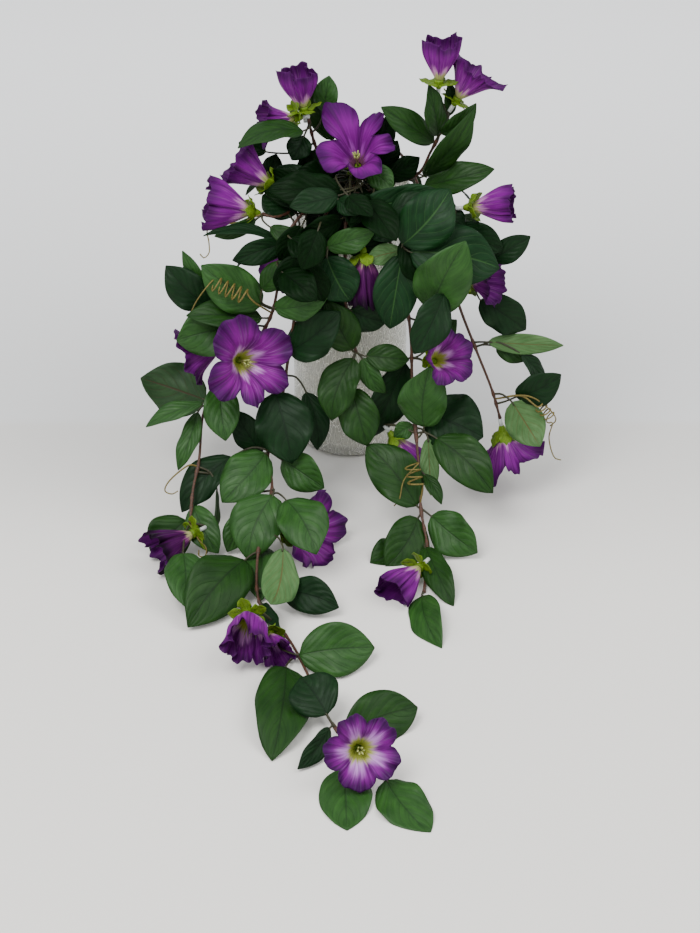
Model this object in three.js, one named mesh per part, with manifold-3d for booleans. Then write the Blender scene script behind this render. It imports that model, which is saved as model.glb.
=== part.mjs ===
// Petunia bush in a clear glass cylinder vase. Millimetres, +Z up, origin at the centre of the vase's underside.
// The viewer stands at -Y. Sprays of leaves and trumpet blooms arch over the rim and trail onto the surface.
import * as THREE from 'three';
import Module from 'manifold-3d';

const wasm = await Module();
wasm.setup();

// ---- driving dimensions, in mm ----
const VASE = { radius: 55, height: 270, wall: 3, base: 9, corner: 8, lip: 2, sides: 24 };
const STALK = { radius: 6.5, swell: 1.2, headRadius: 14, rise: 246, foot: [34, -4], rings: 6, sides: 8 };
const SEAT_GAP = 0.3;        // clearance between pieces that touch
const LIE = 1;               // the lowest a point of a spray's path comes to the surface
const FLOOR_GAP = 0.4;       // the lowest a vertex of a leaf or petal comes to the surface
const ROOT = { middle: 0, inner: 5.2, outer: 11, gap: 0.8, innerRise: 16, outerRise: 8, passRadius: 34 };
const CROWD = 5;             // how near the stem the leaves of one spray may cross one another
const STEM = { radius: 2, tip: 1.5, sides: 4, step: 34 };
const PETIOLE = { width: 1.8, thickness: 1.4, root: 1.2, pedicel: 1.5, shortest: 1.2, turn: 1.3 };
const BLADE = { thickness: 0.9, sink: 2.5, arch: 0.07, fold: 0.16, large: 38 };
const PETAL = { thickness: 1.0, lobes: 5, notch: 0.8, wavedFrom: 0.8 };
const CALYX = { radius: 4.2, neck: 2.4, length: 8, sepals: 5, sepalLength: 15, thickness: 1.2 };
const STAMEN = { radius: 1.1, sides: 3, shownFrom: 0.55 };
const TENDRIL = { radius: 0.9, sides: 3, perTurn: 6 };
const TEST_SWELL = 1.2;      // extra thickness of a blade while its room is tested

// ---- the photograph's sight lines ----
// A place is written [right, down, fore]: its pixel in the 700 x 933 picture, and how far it lies in front of
// the vase's axis, in mm. seen() turns it into a point. A place under the surface moves up its sight line to it.
const PICTURE = { middleRight: 350, middleDown: 466.5, focal: 2400 };
const EYE = new THREE.Vector3(0, -2013, 1307);
const LOOK_DOWN = THREE.MathUtils.degToRad(33.92);
const UP = new THREE.Vector3(0, 0, 1);

function seen([right, down, fore]) {
  const across = (right - PICTURE.middleRight) / PICTURE.focal;
  const above = (PICTURE.middleDown - down) / PICTURE.focal;
  const line = new THREE.Vector3(
    across,
    Math.cos(LOOK_DOWN) + above * Math.sin(LOOK_DOWN),
    -Math.sin(LOOK_DOWN) + above * Math.cos(LOOK_DOWN),
  );
  const point = EYE.clone().addScaledVector(line, (-fore - EYE.y) / line.y);
  if (point.z < LIE) point.copy(EYE).addScaledVector(line, (LIE - EYE.z) / line.z);
  return point;
}

// A direction from a compass angle (0 to the viewer, 90 to the right) and a rise above the horizontal, in degrees.
function heading([azimuth, rise]) {
  const turn = THREE.MathUtils.degToRad(azimuth);
  const lift = THREE.MathUtils.degToRad(rise);
  return new THREE.Vector3(Math.sin(turn) * Math.cos(lift), -Math.cos(turn) * Math.cos(lift), Math.sin(lift));
}

// Seeded random numbers, so that the sprays at the back are the same each time.
function seeded(seed) {
  let state = seed;
  return () => {
    state = (state * 1664525 + 1013904223) % 4294967296;
    return state / 4294967296;
  };
}

// ---- solids ----
function solidFrom(points, faces) {
  const vertProperties = new Float32Array(points.flatMap((p) => [p.x, p.y, p.z]));
  const triVerts = new Uint32Array(faces.flat());
  return new wasm.Manifold(new wasm.Mesh({ numProp: 3, vertProperties, triVerts }));
}

// Closed solid through rings of equal counts, with both ends capped.
function loft(rings) {
  const sides = rings[0].length;
  const faces = [];
  for (let r = 0; r + 1 < rings.length; r += 1) {
    for (let s = 0; s < sides; s += 1) {
      const a = r * sides + s;
      const b = r * sides + ((s + 1) % sides);
      faces.push([a, b, b + sides], [a, b + sides, a + sides]);
    }
  }
  const last = (rings.length - 1) * sides;
  for (let s = 1; s + 1 < sides; s += 1) {
    faces.push([0, s + 1, s], [last, last + s, last + s + 1]);
  }
  return solidFrom(rings.flat(), faces);
}

// Rod along a curve, with a radius that changes from its start to its end.
function rod(curve, steps, sides, startRadius, endRadius) {
  const frames = curve.computeFrenetFrames(steps, false);
  const rings = [];
  for (let i = 0; i <= steps; i += 1) {
    const middle = curve.getPointAt(i / steps);
    const radius = THREE.MathUtils.lerp(startRadius, endRadius, i / steps);
    const ring = [];
    for (let s = 0; s < sides; s += 1) {
      const turn = (2 * Math.PI * s) / sides;
      ring.push(middle.clone()
        .addScaledVector(frames.normals[i], radius * Math.cos(turn))
        .addScaledVector(frames.binormals[i], radius * Math.sin(turn)));
    }
    rings.push(ring);
  }
  return loft(rings);
}

// Thin closed sheet from rows of {front, back} points. A round sheet joins its last column to its first.
function sheet(rows, round = false) {
  const starts = [];
  let count = 0;
  for (const row of rows) {
    starts.push(count);
    count += row.length;
  }
  const faces = [];
  const skin = (a, b, c) => faces.push([a, b, c], [a + count, c + count, b + count]);
  const wall = (p, q) => faces.push([q, p, p + count], [q, p + count, q + count]);
  for (let r = 0; r + 1 < rows.length; r += 1) {
    const lower = rows[r].length;
    const upper = rows[r + 1].length;
    const lowerEnd = round ? lower : lower - 1;
    const upperEnd = round ? upper : upper - 1;
    const low = (i) => starts[r] + (i % lower);
    const high = (i) => starts[r + 1] + (i % upper);
    let i = 0;
    let j = 0;
    while (i < lowerEnd || j < upperEnd) {
      if (j >= upperEnd || (i < lowerEnd && i / lowerEnd <= j / upperEnd)) {
        skin(low(i), high(j), low(i + 1));
        i += 1;
      } else {
        skin(low(i), high(j), high(j + 1));
        j += 1;
      }
    }
  }
  const first = rows[0].length;
  const top = rows.length - 1;
  const last = rows[top].length;
  for (let i = 0; i < (round ? first : first - 1); i += 1) wall(starts[0] + ((i + 1) % first), starts[0] + i);
  for (let i = 0; i < (round ? last : last - 1); i += 1) wall(starts[top] + i, starts[top] + ((i + 1) % last));
  if (!round) {
    for (let r = 0; r < top; r += 1) {
      wall(starts[r], starts[r + 1]);
      wall(starts[r + 1] + rows[r + 1].length - 1, starts[r] + rows[r].length - 1);
    }
  }
  const points = [];
  for (const side of ['front', 'back']) for (const row of rows) for (const pair of row) points.push(pair[side]);
  return solidFrom(points, faces);
}

// Keeps a pair of sheet points off the surface, with the sheet's thickness between them.
function offFloor(pair, thickness) {
  const lower = Math.min(pair.front.z, pair.back.z);
  if (lower < FLOOR_GAP) {
    const rise = FLOOR_GAP - lower;
    pair.front.z += rise;
    pair.back.z += rise;
    if (Math.abs(pair.front.z - pair.back.z) < thickness * 0.6) {
      const over = pair.front.z >= pair.back.z ? pair.front : pair.back;
      over.z = FLOOR_GAP + thickness;
    }
  }
  return pair;
}

// ---- leaf: a petiole that widens into a pointed oval, folded along its midrib and arched along its length ----
const STATIONS = [[0.17, 0.74], [0.43, 1], [0.75, 0.68]];   // share of the length, share of the half width
const SMALL_STATIONS = [[0.3, 1], [0.68, 0.8]];

function leafSolid(from, foot, tip, { width, arch = BLADE.arch }, face, thickness) {
  const length = foot.distanceTo(tip);
  const along = tip.clone().sub(foot).normalize();
  const up = face.clone().addScaledVector(along, -face.dot(along)).normalize();
  const left = up.clone().cross(along);
  const pairAt = (point, across, lift, deep, leftward = left, upward = up) => {
    const middle = point.clone().addScaledVector(leftward, across).addScaledVector(upward, lift);
    return offFloor({
      front: middle.clone().addScaledVector(upward, deep / 2),
      back: middle.clone().addScaledVector(upward, -deep / 2),
    }, deep);
  };
  const half = PETIOLE.width / 2;
  const fold = BLADE.fold * Math.min(1, arch / BLADE.arch);
  const rows = [];
  const reach = foot.clone().sub(from);
  if (reach.length() > PETIOLE.shortest && reach.angleTo(along) < PETIOLE.turn) {
    const run = reach.clone().normalize();
    const across = up.clone().cross(run).normalize();
    const over = run.clone().cross(across);
    rows.push([pairAt(from, 0, 0, PETIOLE.root, across, over)]);
  }
  const neck = rows.length > 0 ? foot : foot.clone().addScaledVector(along, -BLADE.sink);
  rows.push([-half, half].map((side) => pairAt(neck, side, 0, PETIOLE.thickness)));
  for (const [share, spread] of (width < BLADE.large ? SMALL_STATIONS : STATIONS)) {
    const middle = foot.clone().addScaledVector(along, share * length);
    const bow = arch * length * 4 * share * (1 - share);
    const edge = (width / 2) * spread;
    rows.push([-edge, 0, edge].map((side) => (
      pairAt(middle, side, bow + Math.abs(side) * fold, thickness))));
  }
  rows.push([pairAt(tip, 0, 0, thickness)]);
  return sheet(rows);
}

// ---- bloom: calyx cup, sepals and stamen on the spray, and the corolla that sits on them ----
function bloomFrame(base, mouth) {
  const axis = mouth.clone().sub(base).normalize();
  const side = new THREE.Vector3().crossVectors(axis, Math.abs(axis.z) > 0.9 ? new THREE.Vector3(1, 0, 0) : UP)
    .normalize();
  const over = new THREE.Vector3().crossVectors(axis, side);
  const at = (turn, radius, height) => base.clone()
    .addScaledVector(side, radius * Math.cos(turn)).addScaledVector(over, radius * Math.sin(turn))
    .addScaledVector(axis, height);
  return { axis, at };
}

// The corolla's profile from the tube's foot to the rim, as shares of its radius and length.
function corollaProfile(open) {
  return [
    { radius: 0, height: 0, ruffle: 0 },
    { radius: 0.34 - 0.16 * open, height: 0.36, ruffle: 0 },
    { radius: 0.78 - 0.24 * open, height: 0.72 + 0.1 * open, ruffle: 0.3 },
    { radius: 1, height: 1.04 - 0.12 * open, ruffle: 1 },
  ];
}

function corolla({ base, mouth, radius, length, open, spin }) {
  const frame = bloomFrame(base, mouth);
  const foot = 2.9;
  const profile = corollaProfile(open).map((ring) => ({
    radius: foot + (radius - foot) * ring.radius,
    height: SEAT_GAP + length * ring.height,
    ruffle: ring.ruffle,
  }));
  const perLobe = open > PETAL.wavedFrom ? 3 : 2;
  const count = PETAL.lobes * perLobe;
  const half = PETAL.thickness / 2;
  const rows = profile.map((ring, r) => {
    const before = profile[Math.max(r - 1, 0)];
    const after = profile[Math.min(r + 1, profile.length - 1)];
    const slope = Math.atan2(after.height - before.height, after.radius - before.radius);
    const row = [];
    for (let c = 0; c < count; c += 1) {
      const turn = spin + (2 * Math.PI * c) / count;
      const atNotch = c % perLobe === 0;
      const reach = ring.radius * (atNotch ? THREE.MathUtils.lerp(1, PETAL.notch, ring.ruffle) : 1);
      const wave = ring.ruffle * radius * 0.07 * (c % 2 ? 1 : -1);
      const front = frame.at(turn, reach - half * Math.sin(slope), ring.height + wave + half * Math.cos(slope));
      const back = frame.at(turn, reach + half * Math.sin(slope), ring.height + wave - half * Math.cos(slope));
      if (r === 0) {
        front.copy(frame.at(turn, reach - half, SEAT_GAP));
        back.copy(frame.at(turn, reach + half, SEAT_GAP));
      }
      row.push(offFloor({ front, back }, PETAL.thickness));
    }
    return row;
  });
  return sheet(rows, true);
}

// Calyx: a cup whose edge runs out into pointed sepals, in one star-shaped solid, and a stamen in its middle.
function calyxParts({ base, mouth, length, open, spread, spin }) {
  const frame = bloomFrame(base, mouth);
  const ring = (radius, height, sides, turned = 0) => {
    const points = [];
    for (let s = 0; s < sides; s += 1) points.push(frame.at(turned + (2 * Math.PI * s) / sides, radius, height));
    return points;
  };
  const lean = THREE.MathUtils.degToRad(spread);
  const star = (lift) => {
    const points = [];
    for (let s = 0; s < 2 * CALYX.sepals; s += 1) {
      const far = s % 2 ? CALYX.sepalLength : 1.2;
      const radius = CALYX.radius + far * Math.sin(lean) - lift * Math.cos(lean);
      const height = -2.4 + far * Math.cos(lean) + lift * Math.sin(lean);
      const point = frame.at(spin + (Math.PI * s) / CALYX.sepals, radius, height);
      point.z = Math.max(point.z, FLOOR_GAP + lift);
      points.push(point);
    }
    return points;
  };
  const sides = 2 * CALYX.sepals;
  const cup = loft([
    ring(CALYX.neck, -CALYX.length, sides, spin),
    star(0), star(CALYX.thickness), ring(3.3, 0, sides, spin),
  ]);
  if (open < STAMEN.shownFrom) return [cup];
  const stamen = loft([
    ring(STAMEN.radius, -2, STAMEN.sides),
    ring(STAMEN.radius * 0.8, length * 0.62, STAMEN.sides),
  ]);
  return [cup, stamen];
}

// ---- vase and stalk ----
function vaseSolid() {
  const { radius, height, wall, base, corner, lip, sides } = VASE;
  const inner = radius - wall;
  const outline = [
    [0, 0], [radius - corner, 0], [radius - corner * 0.3, corner * 0.3], [radius, corner],
    [radius, height - 10], [radius + lip, height], [radius + lip - wall, height], [inner, height - 10],
    [inner, base + 4], [inner - 4, base], [0, base],
  ].map(([across, up]) => new THREE.Vector2(across, up));
  const geometry = new THREE.LatheGeometry(outline, sides);
  geometry.rotateX(Math.PI / 2);
  return weld(geometry);
}

// Solid from a three.js geometry: vertices at the same place become one.
function weld(geometry) {
  const position = geometry.getAttribute('position');
  const known = new Map();
  const points = [];
  const order = [];
  for (let i = 0; i < position.count; i += 1) {
    const point = new THREE.Vector3().fromBufferAttribute(position, i);
    const key = [point.x, point.y, point.z].map((value) => Math.round(value * 1e4)).join(' ');
    if (!known.has(key)) {
      known.set(key, points.length);
      points.push(point);
    }
    order.push(known.get(key));
  }
  const index = Array.from(geometry.index.array, (i) => order[i]);
  const faces = [];
  for (let i = 0; i < index.length; i += 3) {
    const [a, b, c] = index.slice(i, i + 3);
    if (a !== b && b !== c && c !== a) faces.push([a, b, c]);
  }
  return solidFrom(points, faces);
}

// The bound stems lean across the vase: level rings from its floor to just below the rim.
function stalkSolid() {
  const rings = [];
  for (let r = 0; r <= STALK.rings; r += 1) {
    const share = r / STALK.rings;
    const across = STALK.foot[0] * (1 - share);
    const away = STALK.foot[1] * (1 - share);
    const height = THREE.MathUtils.lerp(VASE.base + SEAT_GAP, STALK.rise, share);
    const radius = r === STALK.rings ? STALK.headRadius : STALK.radius + (r % 2 ? STALK.swell : 0);
    const ring = [];
    for (let s = 0; s < STALK.sides; s += 1) {
      const turn = (2 * Math.PI * s) / STALK.sides;
      ring.push(new THREE.Vector3(across + radius * Math.cos(turn), away + radius * Math.sin(turn), height));
    }
    rings.push(ring);
  }
  return loft(rings);
}

// ---- the sprays that the viewer sees ----
// stem: places from the rim to the tip. leaf: foot, tip, width in mm, and where its upper side faces, if not to
// the viewer. bloom: base, mouth, rim radius, length, open 0..1, and the sepals' spread in degrees.
const AWAY = [180, -25];         // shows the pale underside to the viewer
const SKYWARD = [0, 78];         // lies nearly level, so the viewer sees it thin
const leaf = (foot, tip, width, face, arch) => ({ foot, tip, width, face, arch });
const bloom = (base, mouth, radius, length, open, spread = 48) => ({ base, mouth, radius, length, open, spread });

const SPRAYS = {
  top_right: {
    root: [100, 'inner'],
    stem: [[404, 180, 8], [420, 172, 6], [430, 153, 5], [437, 140, 5], [447, 116, 5]],
    blooms: [
      bloom([439, 80, 6], [441, 46, 2], 17, 36, 0.1),
      bloom([458, 98, 2], [475, 72, -2], 28, 33, 0.6, 75),
    ],
    leaves: [
      leaf([434, 142, 6], [382, 107, 15], 27),
      leaf([424, 186, 12], [493, 168, 30], 30),
      leaf([424, 176, 9], [475, 116, 20], 28),
    ],
    tendrils: [],
  },
  top_left: {
    root: [-112, 'outer'],
    stem: [[322, 166, -12], [314, 142, -12], [308, 118, -10]],
    blooms: [
      bloom([303, 105, -10], [298, 74, -12], 18, 35, 0.15),
      bloom([292, 119, -4], [264, 120, 6], 22, 30, 0.6),
    ],
    leaves: [
      leaf([331, 138, 0], [306, 83, 6], 26),
      leaf([320, 160, -8], [296, 176, 4], 26),
      leaf([303, 131, -2], [240, 144, 20], 28),
    ],
    tendrils: [],
  },
  upper_left: {
    root: [-88, 'inner'],
    stem: [[300, 203, 48], [288, 213, 62], [274, 217, 70], [262, 214, 68]],
    blooms: [
      bloom([252, 212, 66], [208, 203, 68], 24, 44, 0.2),
      bloom([269, 184, 36], [238, 163, 32], 24, 38, 0.5),
    ],
    leaves: [
      leaf([296, 214, 62], [262, 194, 44], 34),
      leaf([318, 196, 34], [277, 166, 18], 28),
    ],
    tendrils: [],
  },
  top_centre: {
    root: [0, 'middle'],
    upright: true,
    stem: [[352, 192, 12], [353, 180, 10], [353, 176, 12]],
    blooms: [bloom([358, 166, 8], [354, 139, 38], 42, 40, 0.95, 60)],
    leaves: [
      leaf([368, 160, 4], [393, 114, -6], 26),
      leaf([336, 178, 8], [306, 152, -4], 26),
      leaf([363, 204, 68], [436, 190, 64], 32),
      leaf([330, 214, 58], [264, 190, 46], 30),
      leaf([340, 190, 30], [268, 188, 40], 34),
      leaf([346, 192, 40], [306, 226, 66], 30),
      leaf([354, 194, 44], [336, 232, 78], 28),
      leaf([362, 192, 44], [376, 236, 82], 30),
      leaf([372, 190, 40], [412, 216, 62], 30),
      leaf([366, 184, 0], [398, 168, -22], 28),
      leaf([340, 182, -4], [316, 160, -26], 28),
      leaf([330, 196, 30], [284, 176, 24], 30),
      leaf([358, 186, 12], [338, 164, -18], 26),
    ],
    tendrils: [],
  },
  centre: {
    root: [-4, 'outer'],
    stem: [[347, 213, 66], [345, 232, 84], [345, 262, 92], [344, 292, 98], [350, 325, 100],
      [356, 352, 104]],
    blooms: [bloom([364, 255, 92], [366, 290, 100], 17, 44, 0.2)],
    leaves: [
      leaf([327, 257, 98], [350, 302, 114], 44),
      leaf([352, 350, 106], [327, 302, 104], 38),
      leaf([366, 356, 108], [409, 360, 112], 26),
      leaf([354, 358, 108], [330, 420, 140], 38),
      leaf([351, 388, 120], [367, 446, 152], 38),
      leaf([352, 208, 58], [386, 228, 84], 26),
      leaf([340, 236, 88], [302, 244, 86], 26),
      leaf([342, 268, 94], [304, 290, 92], 30),
      leaf([346, 226, 84], [384, 256, 96], 32),
      leaf([342, 218, 78], [300, 232, 84], 28),
      leaf([338, 246, 90], [302, 270, 96], 32),
    ],
    tendrils: [],
  },
  left_trail: {
    root: [-40, 'outer'],
    stem: [[312, 206, 64], [294, 224, 82], [284, 250, 88], [272, 313, 96], [258, 338, 96],
      [240, 358, 98], [218, 382, 108], [204, 411, 122], [199, 460, 160], [193, 490, 182], [190, 524, 208]],
    blooms: [
      bloom([241, 358, 106], [259, 367, 150], 38, 42, 0.85),
      bloom([224, 342, 92], [190, 356, 98], 30, 38, 0.7),
      bloom([190, 534, 212], [158, 551, 232], 22, 40, 0.3, 80),
    ],
    leaves: [
      leaf([262, 305, 98], [202, 266, 102], 42),
      leaf([209, 306, 90], [166, 267, 84], 36),
      leaf([262, 318, 100], [188, 312, 122], 32, [-10, 66]),
      leaf([236, 328, 108], [177, 341, 128], 46),
      leaf([274, 308, 104], [327, 297, 118], 26),
      leaf([206, 399, 128], [142, 378, 112], 52, AWAY),
      leaf([221, 384, 116], [226, 440, 160], 34),
      leaf([262, 452, 140], [236, 411, 128], 28),
      leaf([290, 238, 98], [322, 264, 110], 30),
      leaf([282, 272, 104], [316, 298, 116], 32),
      leaf([186, 520, 200], [152, 556, 232], 42),
      leaf([191, 508, 200], [216, 556, 236], 30),
      leaf([183, 553, 224], [186, 605, 290], 38),
    ],
    tendrils: [
      { path: [[262, 314, 100], [252, 300, 112], [246, 297, 116]], coil: [[246, 297, 116], [213, 283, 112]],
        radius: 7, turns: 5, tail: [[206, 288, 112], [196, 302, 110], [190, 315, 106]] },
    ],
  },
  long_trail: {
    root: [-42, 'inner'],
    stem: [[326, 214, 74], [306, 245, 98], [297, 300, 106], [288, 360, 108], [278, 420, 124],
      [268, 452, 150], [272, 490, 190], [262, 530, 228], [257, 565, 262], [260, 604, 304], [290, 641, 352],
      [307, 673, 396], [327, 715, 454], [338, 732, 478]],
    blooms: [
      bloom([286, 532, 200], [317, 533, 222], 40, 40, 0.85),
      bloom([249, 621, 352], [247, 655, 404], 21, 42, 0.3, 75),
      bloom([270, 635, 354], [281, 658, 384], 14, 28, 0.3),
      bloom([358, 748, 510], [364, 754, 544], 33.5, 34, 1, 60),
    ],
    leaves: [
      leaf([288, 352, 111], [338, 313, 118], 42),
      leaf([318, 230, 104], [302, 270, 118], 30),
      leaf([275, 392, 122], [292, 463, 166], 54),
      leaf([306, 392, 106], [318, 450, 134], 26),
      leaf([232, 457, 152], [180, 510, 186], 34),
      leaf([266, 453, 152], [222, 501, 186], 46),
      leaf([282, 460, 152], [323, 488, 178], 36),
      leaf([273, 495, 204], [247, 558, 252], 50),
      leaf([286, 500, 204], [316, 553, 244], 46),
      leaf([245, 560, 252], [190, 624, 326], 54),
      leaf([238, 566, 248], [188, 594, 288], 30),
      leaf([283, 548, 264], [270, 607, 334], 34, AWAY),
      leaf([262, 548, 232], [260, 600, 290], 34),
      leaf([284, 592, 290], [338, 607, 312], 34),
      leaf([262, 604, 306], [284, 650, 364], 28),
      leaf([299, 655, 380], [375, 648, 374], 48),
      leaf([286, 667, 388], [273, 758, 506], 48),
      leaf([327, 715, 456], [300, 677, 404], 44),
      leaf([345, 735, 478], [418, 707, 452], 46),
      leaf([345, 768, 512], [347, 830, 588], 44, SKYWARD, 0.02),
      leaf([386, 780, 526], [430, 832, 588], 42, SKYWARD, 0.02),
    ],
    tendrils: [],
  },
  right_front: {
    root: [30, 'outer'],
    stem: [[384, 206, 66], [398, 228, 90], [406, 248, 98], [414, 262, 102]],
    blooms: [],
    leaves: [
      leaf([402, 254, 104], [389, 330, 122], 40),
      leaf([402, 245, 104], [450, 190, 90], 50),
      leaf([410, 252, 108], [500, 268, 112], 56),
      leaf([366, 202, 76], [396, 240, 106], 32),
      leaf([402, 240, 94], [430, 284, 108], 34),
      leaf([392, 220, 78], [428, 224, 72], 32),
    ],
    tendrils: [],
  },
  right_side: {
    root: [66, 'outer'],
    stem: [[408, 198, 44], [432, 206, 54], [456, 226, 60], [474, 250, 60], [484, 270, 58]],
    blooms: [
      bloom([472, 207, 60], [508, 204, 66], 17, 38, 0.15),
      bloom([470, 281, 74], [495, 285, 88], 20, 30, 0.5),
    ],
    leaves: [
      leaf([458, 228, 60], [503, 250, 72], 32),
      leaf([480, 300, 80], [526, 331, 90], 36),
      leaf([434, 206, 50], [466, 228, 62], 26),
    ],
    tendrils: [],
  },
  right_trail: {
    root: [10, 'inner'],
    stem: [[372, 216, 76], [394, 250, 88], [406, 300, 98], [411, 340, 102], [412, 376, 110],
      [415, 422, 130], [419, 470, 160], [421, 510, 188], [427, 545, 218], [424, 592, 276]],
    blooms: [
      bloom([434, 361, 112], [453, 355, 142], 26, 34, 0.75),
      bloom([393, 439, 126], [409, 460, 134], 14, 36, 0.15),
      bloom([419, 568, 254], [389, 596, 290], 18, 42, 0.2, 70),
    ],
    leaves: [
      leaf([432, 311, 116], [464, 245, 130], 52),
      leaf([444, 294, 120], [415, 354, 138], 36),
      leaf([424, 427, 138], [430, 368, 134], 46),
      leaf([426, 412, 120], [483, 437, 142], 58),
      leaf([436, 438, 142], [492, 491, 184], 42),
      leaf([417, 506, 184], [367, 444, 146], 46),
      leaf([405, 362, 112], [368, 440, 142], 38),
      leaf([424, 352, 104], [456, 320, 104], 28),
      leaf([431, 516, 192], [477, 553, 226], 40),
      leaf([418, 518, 192], [387, 567, 232], 42),
      leaf([404, 548, 214], [371, 584, 262], 32),
      leaf([425, 547, 222], [453, 606, 288], 26),
      leaf([422, 596, 280], [440, 648, 350], 34),
    ],
    tendrils: [
      { path: [[420, 500, 182], [424, 488, 180]], coil: [[416, 486, 182], [412, 464, 172]],
        radius: 7, turns: 3, tail: [[404, 480, 178], [399, 500, 186], [394, 506, 188]] },
    ],
  },
  far_right: {
    root: [56, 'inner'],
    stem: [[404, 210, 62], [434, 242, 78], [452, 278, 84], [459, 305, 84], [477, 352, 88],
      [492, 390, 95], [500, 418, 100]],
    blooms: [bloom([503, 433, 103], [511, 460, 108], 31, 40, 0.5, 30)],
    leaves: [
      leaf([486, 341, 94], [563, 345, 102], 26, AWAY),
      leaf([496, 346, 84], [532, 356, 88], 27),
      leaf([512, 402, 104], [540, 446, 124], 38, AWAY),
      leaf([516, 397, 98], [561, 375, 98], 32),
    ],
    tendrils: [
      { path: [[507, 398, 99], [522, 396, 104], [536, 402, 106]], coil: [[538, 404, 106], [556, 420, 106]],
        radius: 5, turns: 3, tail: [[550, 440, 108], [556, 457, 110]] },
    ],
  },
};

// ---- the sprays at the back, by rule: an arch over the rim with pairs of leaves and blooms at the end ----
const BACK = [
  { name: 'back_left', azimuth: 207, reach: 112, drop: 124, root: [212, 'outer'], seed: 11 },
  { name: 'back_middle', azimuth: 176, reach: 102, drop: 128, root: [180, 'outer'], seed: 23 },
  { name: 'back_right', azimuth: 140, reach: 116, drop: 116, root: [140, 'outer'], seed: 37 },
];
const BACK_PAIRS = 3;

function backSpray({ azimuth, reach, drop, root, seed }) {
  const random = seeded(seed);
  const out = heading([azimuth, 0]);
  const side = out.clone().cross(UP);
  const at = (distance, height, across = 0) => out.clone().multiplyScalar(distance)
    .addScaledVector(side, across).setZ(height);
  const rim = VASE.height;
  const stem = [
    at(62, rim + 14), at(reach * 0.82, rim - 24), at(reach, rim - 78), at(reach + 8, rim - drop),
  ];
  const curve = new THREE.CatmullRomCurve3(stem);
  const leaves = [];
  for (let p = 0; p < BACK_PAIRS; p += 1) {
    const share = 0.3 + (0.62 * p) / (BACK_PAIRS - 1);
    const foot = curve.getPointAt(share);
    for (const hand of [-1, 1]) {
      const length = 52 + 16 * random();
      const aim = side.clone().multiplyScalar(hand * (0.8 + 0.3 * random()))
        .addScaledVector(out, 0.55).addScaledVector(UP, -0.35 - 0.4 * random()).normalize();
      leaves.push({
        foot: foot.clone().addScaledVector(aim, 13),
        tip: foot.clone().addScaledVector(aim, 13 + length),
        width: 30 + 10 * random(),
        face: out.clone().multiplyScalar(0.6).addScaledVector(UP, 0.9).normalize(),
      });
    }
  }
  const end = curve.getPointAt(1);
  const blooms = [{
    base: end.clone().addScaledVector(UP, -7),
    mouth: end.clone().addScaledVector(out, 24).addScaledVector(UP, -32),
    radius: 30,
    length: 40,
    open: 0.7,
    spread: 50,
  }];
  return { root, stem, leaves, blooms, tendrils: [] };
}

// ---- growing a spray ----
const purple = { color: 0x6a1f96, roughness: 0.75, metalness: 0 };
const green = { color: 0x2f5c2b, roughness: 0.65, metalness: 0 };
const brown = { color: 0x5b4030, roughness: 0.8, metalness: 0 };
const glass = { color: 0xdfe3e0, roughness: 0.15, metalness: 0, transparent: true, opacity: 0.5 };

const model = new THREE.Group();
const placed = [];               // every solid so far, with the spray that it belongs to
const kin = [];                  // what the leaves of the same spray keep clear of as well

function addMesh(name, solid, finish) {
  const { vertProperties, triVerts } = solid.getMesh();
  const geometry = new THREE.BufferGeometry();
  geometry.setAttribute('position', new THREE.BufferAttribute(new Float32Array(vertProperties), 3));
  geometry.setIndex(new THREE.BufferAttribute(new Uint32Array(triVerts), 1));
  geometry.computeVertexNormals();
  const mesh = new THREE.Mesh(geometry, new THREE.MeshStandardMaterial(finish));
  mesh.name = name;
  model.add(mesh);
}

function boxOf(solid) {
  const { min, max } = solid.boundingBox();
  return new THREE.Box3(new THREE.Vector3(...min), new THREE.Vector3(...max));
}

function keep(owner, solid) {
  placed.push({ owner, solid, box: boxOf(solid) });
}

// Whether it crosses any solid of another piece.
function crossed(owner, solid) {
  const box = boxOf(solid);
  return placed.some((other) => other.owner !== owner && other.box.intersectsBox(box)
    && !solid.intersect(other.solid).isEmpty());
}

// A calyx, pedicel or tendril joins its spray, and the spray's leaves keep clear of it.
function addToSpray(spray, solid) {
  spray.parts.push(solid);
  keep(spray.name, solid);
  kin.push({ owner: spray.name, solid, box: boxOf(solid) });
}

// Whether it crosses a leaf, calyx or tendril of its own spray.
function crossedKin(owner, solid) {
  const box = boxOf(solid);
  return kin.some((other) => other.owner === owner && other.box.intersectsBox(box)
    && !solid.intersect(other.solid).isEmpty());
}

// Where a petiole leaves the stem: close to the leaf's foot, and so that it runs on into the blade without a kink.
function rootOn(curve, foot, along) {
  let best = null;
  for (const point of stations(curve)) {
    const run = foot.clone().sub(point);
    const kink = run.length() > PETIOLE.shortest ? run.angleTo(along) : 0;
    const cost = run.length() + 12 * kink ** 2 + (kink > PETIOLE.turn ? 60 : 0);
    if (!best || cost < best.cost) best = { point, cost };
  }
  return best.point;
}

function nearestOn(curve, place) {
  const [first, ...others] = stations(curve);
  return others.reduce((best, point) => (point.distanceTo(place) < best.distanceTo(place) ? point : best), first);
}

// Closely spaced points on the middle line of the stem's straight pieces.
function stations(curve) {
  const steps = stemSteps(curve);
  const points = [];
  for (let i = 0; i < steps; i += 1) {
    const start = curve.getPointAt(i / steps);
    const end = curve.getPointAt((i + 1) / steps);
    for (let part = 1; part <= 12; part += 1) points.push(start.clone().lerp(end, part / 12.5));
  }
  return points;
}

function stemSteps(curve) {
  return Math.max(6, Math.round(curve.getLength() / STEM.step));
}

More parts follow.
